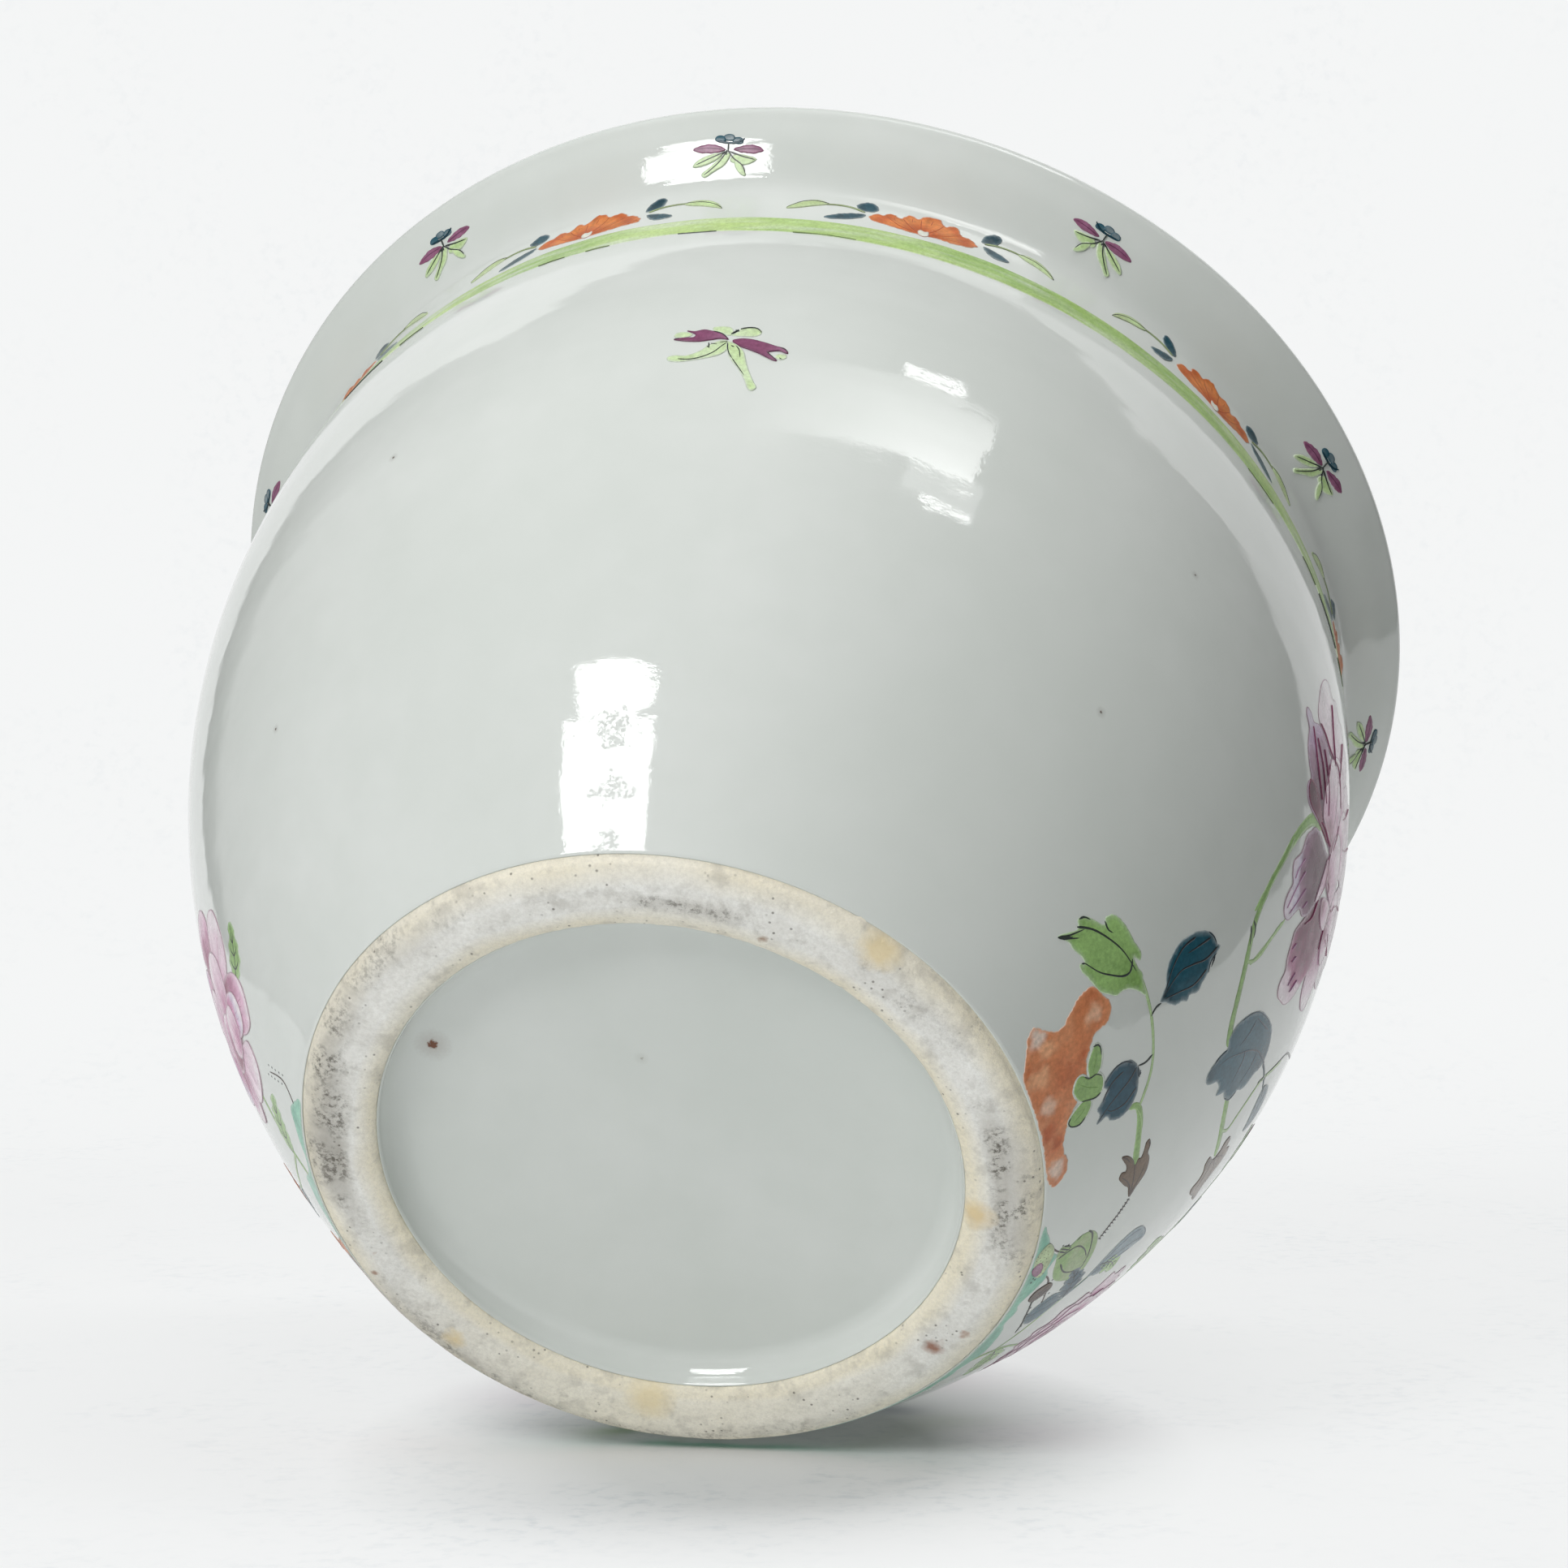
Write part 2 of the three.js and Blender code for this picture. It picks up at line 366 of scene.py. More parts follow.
def foot_material():
    """Bare fired clay: pale grit, straw-coloured bands along both glaze lines, soot and dark specks, and
    painted light: the side that faces the floor is made paler and creamier, as if lit from below.
    """
    n = Nodes("foot_biscuit")
    place = n.add("ShaderNodeSeparateXYZ", Vector=n.coords)
    square = n.math("ADD", n.math("MULTIPLY", place.outputs[0], place.outputs[0]),
        n.math("MULTIPLY", place.outputs[1], place.outputs[1]))
    wander = n.ramp(n.noise(38.0, 3.0), 0.25, 0.75, -0.0012, 0.0012)
    radius = n.math("ADD", n.math("SQRT", square), wander)
    inner = n.ramp(radius, (FOOT_INNER + 4.6) * MM, (FOOT_INNER + 1.4) * MM)
    outer = n.ramp(radius, (FOOT_OUTER - 5.0) * MM, (FOOT_OUTER - 1.0) * MM)
    flash_and_lit_underside = n.math("MAXIMUM", n.math("MULTIPLY", inner, 0.9), n.math("MULTIPLY", outer, 0.9))
    # Painted light: the side of the ring that faces the floor takes the pale straw tone, as if the floor
    # lit it from below.
    facing = n.add("ShaderNodeVectorMath", i0=n.coords, i1=(*foot_place(1, 80), 0))
    facing.operation = "DOT_PRODUCT"
    low = n.ramp(n.math("DIVIDE", facing.outputs["Value"], radius), 0.55, 0.95, 0.0, 0.6)
    flash_and_lit_underside = n.math("MAXIMUM", flash_and_lit_underside, low)
    flash_and_lit_underside = n.math("MULTIPLY", flash_and_lit_underside, n.ramp(n.noise(24.0, 3.0), 0.25, 0.6, 0.45, 1.0))
    cloud = n.ramp(n.noise(95.0, 5.0, 0.65), 0.35, 0.65)
    tone = n.blend(cloud, srgb("#f1f1ec"), srgb("#e5e4de"))
    tone = n.blend(flash_and_lit_underside, tone, srgb("#eee6cd"))
    grain = n.ramp(n.noise(1200.0, 5.0, 0.8), 0.42, 0.62, 0.0, 0.25)
    tone = n.blend(grain, tone, srgb("#b3b0a6"))
    smudge = n.ramp(n.noise(210.0, 4.0, 0.6), 0.52, 0.66)
    tone = n.blend(n.math("MULTIPLY", smudge, 0.35), tone, srgb("#a5a197"))
    fine = n.math("MULTIPLY", n.ramp(n.noise(780.0, 5.0, 0.75), 0.47, 0.60),
        n.ramp(n.noise(170.0, 2.0), 0.40, 0.58))
    for turn, half, middle, wide, share in FOOT_SOOT:
        facing = n.add("ShaderNodeVectorMath", i0=n.coords, i1=(*foot_place(1, turn), 0))
        facing.operation = "DOT_PRODUCT"
        turned = n.math("DIVIDE", facing.outputs["Value"], radius)
        near = n.ramp(turned, math.cos(half * DEG), math.cos(half * 0.3 * DEG))
        apart = n.math("ABSOLUTE", n.math("SUBTRACT", radius, middle * MM))
        near = n.math("MULTIPLY", near, n.ramp(apart, wide * MM, wide * 0.3 * MM, 0.0, share))
        tone = n.blend(n.math("MULTIPLY", near, 0.55), tone, srgb("#a5a198"))
        tone = n.blend(n.math("MULTIPLY", near, fine), tone, srgb("#5f5b52"))
    for dirt, turn, middle, size in FOOT_MARKS:
        spot = n.add("ShaderNodeVectorMath", i0=n.coords,
            i1=(*(v * MM for v in foot_place(middle, turn)), 0.001))
        spot.operation = "DISTANCE"
        ragged = n.math("ADD", spot.outputs["Value"],
            n.ramp(n.noise(500.0, 3.0), 0.3, 0.7, -0.0005, 0.0005))
        tone = n.blend(n.ramp(ragged, size * MM, size * 0.3 * MM, 0.0, 0.85), tone, srgb(dirt))
    speck = n.add("ShaderNodeTexVoronoi", Scale=620.0, Vector=n.coords)
    dots = n.math("MULTIPLY", n.ramp(speck.outputs["Distance"], 0.20, 0.10),
        n.ramp(n.noise(120.0, 2.0), 0.5, 0.62))
    tone = n.blend(n.math("MULTIPLY", dots, 0.75), tone, srgb("#5a554c"))
    grit = n.bump(n.noise(1500.0, 4.0, 0.6), 0.45, 0.00025)
    pits = n.bump(n.noise(420.0, 4.0, 0.6), 0.45, 0.0007, grit)
    n.set(Base_Color=tone, Roughness=n.ramp(n.noise(300.0, 3.0), 0.35, 0.65, 0.5, 0.85), Normal=pits)
    return n.material


def foot_place(radius, turn):
    return radius * math.cos(turn * DEG), radius * math.sin(turn * DEG)


# Sooty stretches as turn, half angle, radius, half width and strength.
FOOT_SOOT = [
    (176, 24, 66.4, 3.8, 1.0),
    (170, 17, 63.6, 3.4, 1.0),
    (158, 14, 63.6, 3.2, 0.8),
    (205, 22, 66.8, 4.0, 0.4),
    (341, 17, 62.4, 2.8, 1.0),
    (345, 18, 66.0, 3.6, 0.8),
    (100, 34, 68.2, 2.6, 0.6),
    (263, 9, 60.8, 2.2, 0.7),
    (300, 16, 63.5, 4.0, 0.35),
    (120, 20, 66.5, 4.0, 0.4),
    (60, 25, 67.0, 4.0, 0.35),
]
# Small marks as tone, turn, radius and size.
FOOT_MARKS = [
    ("#8a4a20", 23.0, 62.4, 2.6),
    ("#9a6238", 17.4, 65.2, 1.6),
    ("#8f6a4c", 275.5, 58.9, 1.2),
    ("#a3806c", 137.1, 66.1, 0.9),
    ("#a3806c", 141.1, 63.7, 0.9),
    ("#e6d7b0", 81.3, 58.6, 5.5),
    ("#dcc595", 350.4, 58.3, 4.0),
    ("#e3d1a6", 292.6, 67.8, 5.0),
    ("#dfcb9c", 118.8, 63.8, 3.0),
    ("#ecebe6", 186.1, 62.4, 2.2),
    ("#ecebe6", 319.5, 62.2, 2.6),
]


def enamel_material(name, rough, grain=0.12):
    """Painted enamel: its tone is stored on the mesh, and the brush left it a little uneven."""
    n = Nodes(name)
    tone = n.add("ShaderNodeVertexColor")
    tone.layer_name = "tone"
    streak = n.ramp(n.noise(1300.0, 4.0, 0.7), 0.32, 0.68, 1 - grain * 1.6, 1 + grain * 1.6)
    pool = n.ramp(n.noise(180.0, 2.0), 0.3, 0.7, 1 - grain / 2, 1 + grain / 2)
    both = n.math("MULTIPLY", streak, pool)
    shaded = n.add("ShaderNodeVectorMath", i0=tone.outputs["Color"])
    shaded.operation = "SCALE"
    n.feed(shaded, "Scale", both)
    n.set(Base_Color=shaded.outputs[0],
        Roughness=n.ramp(n.noise(250.0), 0.3, 0.7, rough * 0.8, rough * 1.3),
        Normal=n.bump(n.noise(800.0, 2.0), 0.12, 0.0002))
    n.shader.inputs["Specular IOR Level"].default_value = ENAMEL_SPECULAR
    return n.material


# The pot

def even_runs(start, end, step):
    count = max(1, round((end - start) / step))
    return [start + (end - start) * i / count for i in range(count + 1)]


def exterior(material):
    rolled = trace("-0.45,0.35 -0.22,0.05 -0.06,0.25")
    rings = [(run, lift) for lift, run in rolled]
    rings += [(run, 0.0) for run in even_runs(0.9, NECK_RUN, ROW_STEP)]
    rings += [(run, 0.0) for run in even_runs(NECK_RUN, RIM_RUN, 0.8)[1:]]
    rings += [(run, 0.0) for run in even_runs(RIM_RUN, LIP_RUN, 0.5)[1:]]
    piece = revolve("glaze_outside", rings, material, "glaze", lambda turn, ring: skin(turn, *ring))
    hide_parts("exterior_glaze")


def inside_rings():
    rings = [(r, z, LIP_RUN)
        for r, z in arc(LIP_CENTRE, LIP_RADIUS, math.pi / 2, math.pi - LIP_FLARE, 10)]
    for run in reversed(even_runs(24.0, RIM_RUN, 2.0)):
        r, z, out, up = outline_at(run)
        share = min(max((run - NECK_RUN) / (RIM_RUN - NECK_RUN), 0), 1)
        wall = WALL + (LIP_WALL - WALL) * share
        rings.append((r - out * wall, z - up * wall, run))
    r, z, run = rings[-1]
    corner = (r - (z - FLOOR_HEIGHT) * 0.68, FLOOR_HEIGHT)
    for i in range(1, 9):
        t = i / 8
        a, b, c = (1 - t) ** 2, 2 * t * (1 - t), t * t
        rings.append((a * r + b * corner[0] + c * FLOOR_RADIUS, a * z + (b + c) * FLOOR_HEIGHT, run))
    rings += [(FLOOR_RADIUS * k, FLOOR_HEIGHT, run) for k in (0.85, 0.68, 0.5, 0.34, 0.2, 0.1, 0.04)]
    return rings


def interior(material):
    curl_end = math.pi - LIP_FLARE

    def place(turn, ring):
        r, z, run = ring
        if run == LIP_RUN:
            angle = math.atan2(z - LIP_CENTRE[1], r - LIP_CENTRE[0])
            share = (angle - math.pi / 2) / (curl_end - math.pi / 2)
            top = unevenness(turn, LIP_RUN) + rim_swell(LIP_RUN)
            reach = LIP_RADIUS + top + (0.2 - top) * share
            r = LIP_CENTRE[0] + reach * math.cos(angle)
            z = LIP_CENTRE[1] + reach * math.sin(angle)
        elif z > FLOOR_HEIGHT + 1:
            r += unevenness(turn, run)
        else:
            z += 0.12 * math.sin(r * 0.45 + turn) * min(1, r / 20)
        return Vector((r * math.cos(turn), r * math.sin(turn), z)) * MM

    top = revolve("glaze_inside", inside_rings(), material, "glaze", place,
        pole=Vector((0, 0, FLOOR_HEIGHT * MM)))
    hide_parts("interior_glaze")


def base_underside(material):
    fillet = arc((RECESS_RADIUS - RECESS_ROUND, RECESS_HEIGHT - RECESS_ROUND), RECESS_ROUND, 0,
        math.pi / 2, 12)
    rings = [(RECESS_RADIUS + 0.5, 2.55), (RECESS_RADIUS + 0.3, 2.2),
        (RECESS_RADIUS + 0.1, 2.25)] + fillet
    rings += [(RECESS_RADIUS * k, RECESS_HEIGHT)
        for k in (0.88, 0.8, 0.7, 0.6, 0.5, 0.4, 0.3, 0.2, 0.1, 0.04)]

    def place(turn, ring):
        r, z = ring
        flat = 1 if r < RECESS_RADIUS - RECESS_ROUND else 0
        z += flat * RECESS_DOME * (1 - (r / RECESS_RADIUS) ** 2)
        z += 0.06 * math.sin(r * 0.9 + 0.8 * math.sin(turn)) * flat * min(1, r / 12)
        if z < 3:
            z += 0.15 * noise.noise(Vector((math.cos(turn) * 3, math.sin(turn) * 3, 5)))
        return Vector((r * math.cos(turn), r * math.sin(turn), z)) * MM

    piece = revolve("glaze_underside", rings, material, "glaze", place,
        pole=Vector((0, 0, (RECESS_HEIGHT + RECESS_DOME) * MM)))
    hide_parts("base_glaze")


# Lumps of grit on the foot ring, as radius, turn and height.
FOOT_LUMPS = [(69.3, 287.6, 0.35), (69.2, 332.1, 0.3)]


def foot_ring(material):
    def quarter(centre, wide, high, start, end, steps):
        return [(centre[0] + wide * x, centre[1] + high * y)
            for x, y in arc((0, 0), 1, start, end, steps)]

    inner = [(FOOT_INNER, FOOT_TOP - 0.6), (FOOT_INNER, 4.6), (FOOT_INNER - 0.1, 2.4)]
    face_start = FOOT_INNER + FOOT_ROUND
    face_end = face_start + FOOT_FACE
    bevel_in = quarter((face_start, 2.3), FOOT_ROUND + 0.1, 2.25, math.pi, 1.5 * math.pi, 12)
    face = [(face_start + FOOT_FACE * k / 4, 0.05) for k in range(1, 5)]
    bevel_out = quarter((face_end, 3.0), FOOT_OUTER - face_end, 2.95, 1.5 * math.pi, 1.95 * math.pi, 14)
    outer = [(69.55, 2.9), (70.0, 3.6), (73.0, FOOT_TOP), (66.0, FOOT_TOP), (60.0, FOOT_TOP)]
    rings = inner + bevel_in + face + bevel_out + outer

    def place(turn, ring):
        r, z = ring
        spot = Vector((r * math.cos(turn), r * math.sin(turn), z * 2))
        grain = 0.16 * noise.noise(spot * 0.9) + 0.1 * noise.noise(spot * 2.3 + Vector((9, 0, 0)))
        wear = 0.3 * max(0, noise.noise(spot * 0.16)) * (1 if z < 2 else 0)
        shown = 1 if z < 3.2 else 0
        bumps = sum(size * math.exp(-((r - far) ** 2 + ((turn - at * DEG) * r) ** 2) / 0.5)
            for far, at, size in FOOT_LUMPS)
        z = max(0.0, z + shown * (grain * 0.7 + wear + 0.06) - bumps)
        r += shown * grain * 0.5 + bumps
        return Vector((r * math.cos(turn), r * math.sin(turn), z)) * MM

    piece = revolve("foot_ring_bisque", rings, material, "foot_biscuit", place, loop=True)
    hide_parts("foot_ring")


def dress_cad_nodes():
    finish = {
        "base": biscuit_material("biscuit_base", BISCUIT, BISCUIT_SHADE),
        "lower_body": biscuit_material("biscuit_lower", BISCUIT, BISCUIT_SHADE),
        "upper_body": biscuit_material("biscuit_upper", BISCUIT, BISCUIT_SHADE),
        "rim": biscuit_material("biscuit_rim", BISCUIT, BISCUIT_SHADE),
        "luting_slip": biscuit_material("slip", SLIP, SLIP_SHADE),
    }
    for node, material in finish.items():
        piece = bpy.data.objects[node]
        if not piece.material_slots:
            piece.data.materials.append(material)
        for slot in piece.material_slots:
            slot.material = material


# The photographer's set

VIEW_TARGET = Vector((0, 0, 123 * MM))
VIEW_DISTANCE = 862 * MM
VIEW_ELEVATION = -54.0 * DEG
VIEW_ROLL = 15.59 * DEG
LENS = 94.55
SENSOR_WIDTH = 36.0
VIEW_SHIFT = (0.0083, 0.0074)
CONTACT_TURN = 71.0 * DEG
LEAN = 33.0 * DEG


def camera_axes():
    ahead = Vector((0, math.cos(VIEW_ELEVATION), -math.sin(VIEW_ELEVATION)))
    level_right = Vector((1, 0, 0))
    level_up = level_right.cross(ahead)
    right = math.cos(VIEW_ROLL) * level_right + math.sin(VIEW_ROLL) * level_up
    up = math.cos(VIEW_ROLL) * level_up - math.sin(VIEW_ROLL) * level_right
    return right, up, ahead


def make_camera():
    right, up, ahead = camera_axes()
    camera = bpy.data.objects.new("photo_camera", bpy.data.cameras.new("photo_camera"))
    camera.data.sensor_width = SENSOR_WIDTH
    camera.data.lens = LENS
    camera.data.shift_x = VIEW_SHIFT[0]
    camera.data.shift_y = VIEW_SHIFT[1]
    camera.data.clip_start = 0.01
    camera.data.clip_end = 20.0
    camera.matrix_world = frame_matrix(right, up, -ahead, VIEW_TARGET - ahead * VIEW_DISTANCE)
    bpy.context.scene.collection.objects.link(camera)
    bpy.context.scene.camera = camera


def frame_matrix(x, y, z, place):
    return Matrix(((x.x, y.x, z.x, place.x), (x.y, y.y, z.y, place.y), (x.z, y.z, z.z, place.z),
        (0, 0, 0, 1)))


class PhotoSet:
    """The room round the tipped pot: its floor touches the lower body and just clears the foot's edge."""

    def __init__(self):
        out = Vector((math.cos(CONTACT_TURN), math.sin(CONTACT_TURN), 0))
        self.up = Vector((0, 0, 1)) * math.sin(LEAN) - out * math.cos(LEAN)
        ahead = camera_axes()[2]
        self.away = (ahead - self.up * ahead.dot(self.up)).normalized()
        self.side = self.away.cross(self.up)
        lowest = max(r * math.cos(LEAN) - z * math.sin(LEAN) for r, z, _, _ in TABLE)
        lowest = max(lowest, (FOOT_OUTER - 0.8) * math.cos(LEAN))
        self.heart = Vector((0, 0, 95 * MM))
        self.origin = self.heart - self.up * (self.heart.dot(self.up) + (lowest - 0.1) * MM)
        self.foot = out * (FOOT_OUTER * MM)

    def at(self, side, away, height):
        return self.origin + self.side * side + self.away * away + self.up * height

    def toward(self, side, away, up):
        return self.heart + self.side * side + self.away * away + self.up * up


SWEEP_START = 0.50
SWEEP_BEND = 0.22
STAGE_LEFT = -0.545
BACK_RIGHT = 0.95
BACK_HEIGHT = 1.05
FLOOR_GLOW = 0.775
FLOOR_BOUNCE = 0.30
# The shade on the floor under the foot: its reach to the side and away, its shift, and how deep a painted
# shadow darkens the floor's colour there.
CONTACT_SHADE = (65 * MM, 104 * MM)
CONTACT_SHIFT = 11 * MM
CONTACT_PAINTED_SHADOW = 0.18
# The floor's right edge, as distances away from the camera and to the side.
FLOOR_EDGE = [(-1.1, 0.34), (-0.6, 0.34), (-0.2, 0.34), (-0.05, 0.34), (0.02, 0.40), (0.12, 0.50),
    (0.22, 0.625), (0.34, 0.77), (0.42, 0.83), (SWEEP_START, 0.88)]


def stage_material(room):
    n = Nodes("stage")
    n.tree.nodes.remove(n.shader)
    warp = n.add("ShaderNodeVectorMath", i0=n.coords, i1=(3.0, 1.2, 2.1))
    warp.operation = "MULTIPLY"
    veins = n.ramp(n.noise(7.0, 5.0, 0.62, warp.outputs[0]), 0.44, 0.66, 0.0, 1.0)
    flecks = n.ramp(n.noise(240.0, 4.0, 0.6), 0.5, 0.72, 0.0, 1.0)
    marks = n.math("MULTIPLY", veins, flecks)
    tone = n.blend(n.math("MULTIPLY", veins, 0.5), srgb("#eff0f0"), srgb("#e6e9ea"))
    tone = n.blend(n.math("MULTIPLY", marks, 0.7), tone, srgb("#c9d0d4"))
    shown = n.blend(n.math("MULTIPLY", marks, 0.35), (0.91, 0.92, 0.92), (0.78, 0.81, 0.83))
    glow = n.add("ShaderNodeEmission", Color=shown, Strength=1.0)
    through = n.add("ShaderNodeBsdfTransparent")
    height = n.add("ShaderNodeAttribute")
    height.attribute_name = "tone"
    from_foot = n.add("ShaderNodeVectorMath", i0=n.coords,
        i1=tuple(room.foot + room.side * CONTACT_SHIFT))
    from_foot.operation = "SUBTRACT"
    squares = []
    for axis, reach in zip((room.side, room.away), CONTACT_SHADE):
        part = n.add("ShaderNodeVectorMath", i0=from_foot.outputs[0], i1=tuple(axis / reach))
        part.operation = "DOT_PRODUCT"
        squares.append(n.math("MULTIPLY", part.outputs["Value"], part.outputs["Value"]))
    apart = n.math("SQRT", n.math("ADD", *squares))
    opened = n.ramp(apart, 0.5, 1.3)
    path = n.add("ShaderNodeLightPath")
    seen = n.math("MAXIMUM", path.outputs["Is Camera Ray"], path.outputs["Is Glossy Ray"])
    # Painted shadow: for camera rays the floor's colour is darkened towards black near the foot, on top
    # of its real shadow.
    deep = n.math("MULTIPLY", path.outputs["Is Camera Ray"],
        n.ramp(apart, 0.3, 1.1, CONTACT_PAINTED_SHADOW, 0.0))
    diffuse = n.add("ShaderNodeBsdfDiffuse", Color=n.blend(deep, tone, (0.0, 0.0, 0.0)))
    shown_share = n.math("MULTIPLY", seen, opened)
    bounce_share = n.math("MULTIPLY", n.math("SUBTRACT", 1.0, seen), FLOOR_BOUNCE)
    share = n.math("MULTIPLY", height.outputs["Fac"], n.math("ADD", shown_share, bounce_share))
    front = n.add("ShaderNodeMixShader", i0=share, i1=diffuse.outputs[0], i2=glow.outputs[0])
    behind = n.add("ShaderNodeNewGeometry").outputs["Backfacing"]
    both = n.add("ShaderNodeMixShader", i0=behind, i1=front.outputs[0], i2=through.outputs[0])
    output = next(x for x in n.tree.nodes if x.type == "OUTPUT_MATERIAL")
    n.tree.links.new(both.outputs[0], output.inputs["Surface"])
    return n.material


def make_stage(room):
    """A pale floor that sweeps up into a backdrop; from behind it lets the view through."""
    path = [(away, 0.0, right) for away, right in FLOOR_EDGE]
    path += [(a, h, BACK_RIGHT)
        for a, h in arc((SWEEP_START, SWEEP_BEND), SWEEP_BEND, -math.pi / 2, 0, 16)]
    path += [(SWEEP_START + SWEEP_BEND, h, BACK_RIGHT) for h in (0.5, 0.8, BACK_HEIGHT)]
    columns = 13
    vertices, tones = [], []
    for away, height, right in path:
        rise = min(max((away - SWEEP_START + 0.15) / 0.27, 0), 1)
        glow = FLOOR_GLOW + (1 - FLOOR_GLOW) * rise
        for i in range(columns):
            vertices.append(room.at(STAGE_LEFT + (right - STAGE_LEFT) * i / (columns - 1), away,
                height))
            tones.append((glow, glow, glow))
    faces = []
    for row in range(len(path) - 1):
        for i in range(columns - 1):
            a = row * columns + i
            faces.append((a, a + 1, a + columns + 1, a + columns))
    piece = make_object("stage_sweep", vertices, faces, stage_material(room), None, tones)


def area_lamp(name, room, place, size, radiance, upright=False, roll=0.0, oval=False, fade=False,
        glossy=True):
    """A soft box that faces the pot; place is from its heart, and radiance 1 shows as white."""
    data = bpy.data.lights.new(name, "AREA")
    data.shape = "ELLIPSE" if oval else "RECTANGLE"
    data.size, data.size_y = size
    data.energy = radiance * math.pi * size[0] * size[1] * (math.pi / 4 if oval else 1)
    if fade:
        fade_lamp(data)
    lamp = bpy.data.objects.new(name, data)
    centre = room.toward(*place)
    back = (centre - room.heart).normalized()
    across = room.up.cross(back) if upright else room.side - back * room.side.dot(back)
    across.normalize()
    across = across * math.cos(roll) + back.cross(across) * math.sin(roll)
    lamp.matrix_world = frame_matrix(across, back.cross(across), back, centre)
    lamp.visible_glossy = glossy
    bpy.context.scene.collection.objects.link(lamp)


def fade_lamp(data):
    """Lets a lamp fade to nothing at its left end and to FADE_FAR of its strength at its far edge."""
    data.use_nodes = True
    tree = data.node_tree
    place = tree.nodes.new("ShaderNodeNewGeometry")
    split = tree.nodes.new("ShaderNodeSeparateXYZ")
    ramp = tree.nodes.new("ShaderNodeMapRange")
    ramp.interpolation_type = "SMOOTHSTEP"
    ramp.inputs["From Min"].default_value = FADE_FROM
    ramp.inputs["From Max"].default_value = FADE_TO
    emission = next(x for x in tree.nodes if x.type == "EMISSION")
    tree.links.new(place.outputs["Parametric"], split.inputs[0])
    tree.links.new(split.outputs[0], ramp.inputs["Value"])
    far = tree.nodes.new("ShaderNodeMapRange")
    far.inputs["To Min"].default_value = 1.0
    far.inputs["To Max"].default_value = FADE_FAR
    both = tree.nodes.new("ShaderNodeMath")
    both.operation = "MULTIPLY"
    tree.links.new(split.outputs[1], far.inputs["Value"])
    tree.links.new(ramp.outputs["Result"], both.inputs[0])
    tree.links.new(far.outputs["Result"], both.inputs[1])
    tree.links.new(both.outputs[0], emission.inputs["Strength"])


FADE_FROM = 0.0
FADE_TO = 1.0
FADE_FAR = 0.3
AMBIENT_LEFT = 0.44
AMBIENT_RIGHT = 0.02
AMBIENT_BEHIND = 0.10
BACKDROP = 0.93


def make_world(room):
    """Even ambient light that falls off to the right and behind the backdrop's left edge."""
    world = bpy.data.worlds.new("room")
    world.use_nodes = True
    tree = world.node_tree
    tree.nodes.clear()
    coords = tree.nodes.new("ShaderNodeTexCoord")

    def part(axis):
        node = tree.nodes.new("ShaderNodeVectorMath")
        node.operation = "DOT_PRODUCT"
        node.inputs[1].default_value = axis
        tree.links.new(coords.outputs["Generated"], node.inputs[0])
        return node.outputs["Value"]

    def ramp(value, low, high, first, last):
        node = tree.nodes.new("ShaderNodeMapRange")
        tree.links.new(value, node.inputs["Value"])
        for key, number in (("From Min", low), ("From Max", high), ("To Min", first), ("To Max", last)):
            node.inputs[key].default_value = number
        return node.outputs["Result"]

    side, away = part(room.side), part(room.away)
    level = ramp(side, 0.05, 0.6, AMBIENT_LEFT, AMBIENT_RIGHT)
    hidden = tree.nodes.new("ShaderNodeMath")
    hidden.operation = "MULTIPLY"
    tree.links.new(ramp(side, -0.66, -0.62, 0.0, 1.0), hidden.inputs[0])
    tree.links.new(ramp(away, 0.25, 0.5, 0.0, 1.0), hidden.inputs[1])
    mixed = tree.nodes.new("ShaderNodeMix")
    tree.links.new(hidden.outputs[0], mixed.inputs[0])
    tree.links.new(level, mixed.inputs[2])
    mixed.inputs[3].default_value = AMBIENT_BEHIND
    ambient = tree.nodes.new("ShaderNodeBackground")
    ambient.inputs["Color"].default_value = (1.0, 1.0, 1.0, 1.0)
    tree.links.new(mixed.outputs[0], ambient.inputs["Strength"])
    seen = tree.nodes.new("ShaderNodeBackground")
    seen.inputs["Color"].default_value = (BACKDROP, BACKDROP, BACKDROP, 1.0)
    path = tree.nodes.new("ShaderNodeLightPath")
    share = tree.nodes.new("ShaderNodeMixShader")
    output = tree.nodes.new("ShaderNodeOutputWorld")
    tree.links.new(path.outputs["Is Camera Ray"], share.inputs[0])
    tree.links.new(ambient.outputs[0], share.inputs[1])
    tree.links.new(seen.outputs[0], share.inputs[2])
    tree.links.new(share.outputs[0], output.inputs["Surface"])
    bpy.context.scene.world = world


# Enamel painting

def smooth(points, closed=False, steps=6):
    """A rounded line through all points."""
    count = len(points)
    if count < 3:
        return list(points)
    out = []
    for i in range(count if closed else count - 1):
        a = points[(i - 1) % count] if closed or i > 0 else points[0]
        b, c = points[i], points[(i + 1) % count]
        d = points[(i + 2) % count] if closed or i + 2 < count else points[-1]
        for k in range(steps):
            t = k / steps
            w = (-0.5 * t + t * t - 0.5 * t ** 3, 1 - 2.5 * t * t + 1.5 * t ** 3,
                0.5 * t + 2 * t * t - 1.5 * t ** 3, -0.5 * t * t + 0.5 * t ** 3)
            out.append(tuple(w[0] * a[j] + w[1] * b[j] + w[2] * c[j] + w[3] * d[j] for j in (0, 1)))
    if not closed:
        out.append(points[-1])
    return out


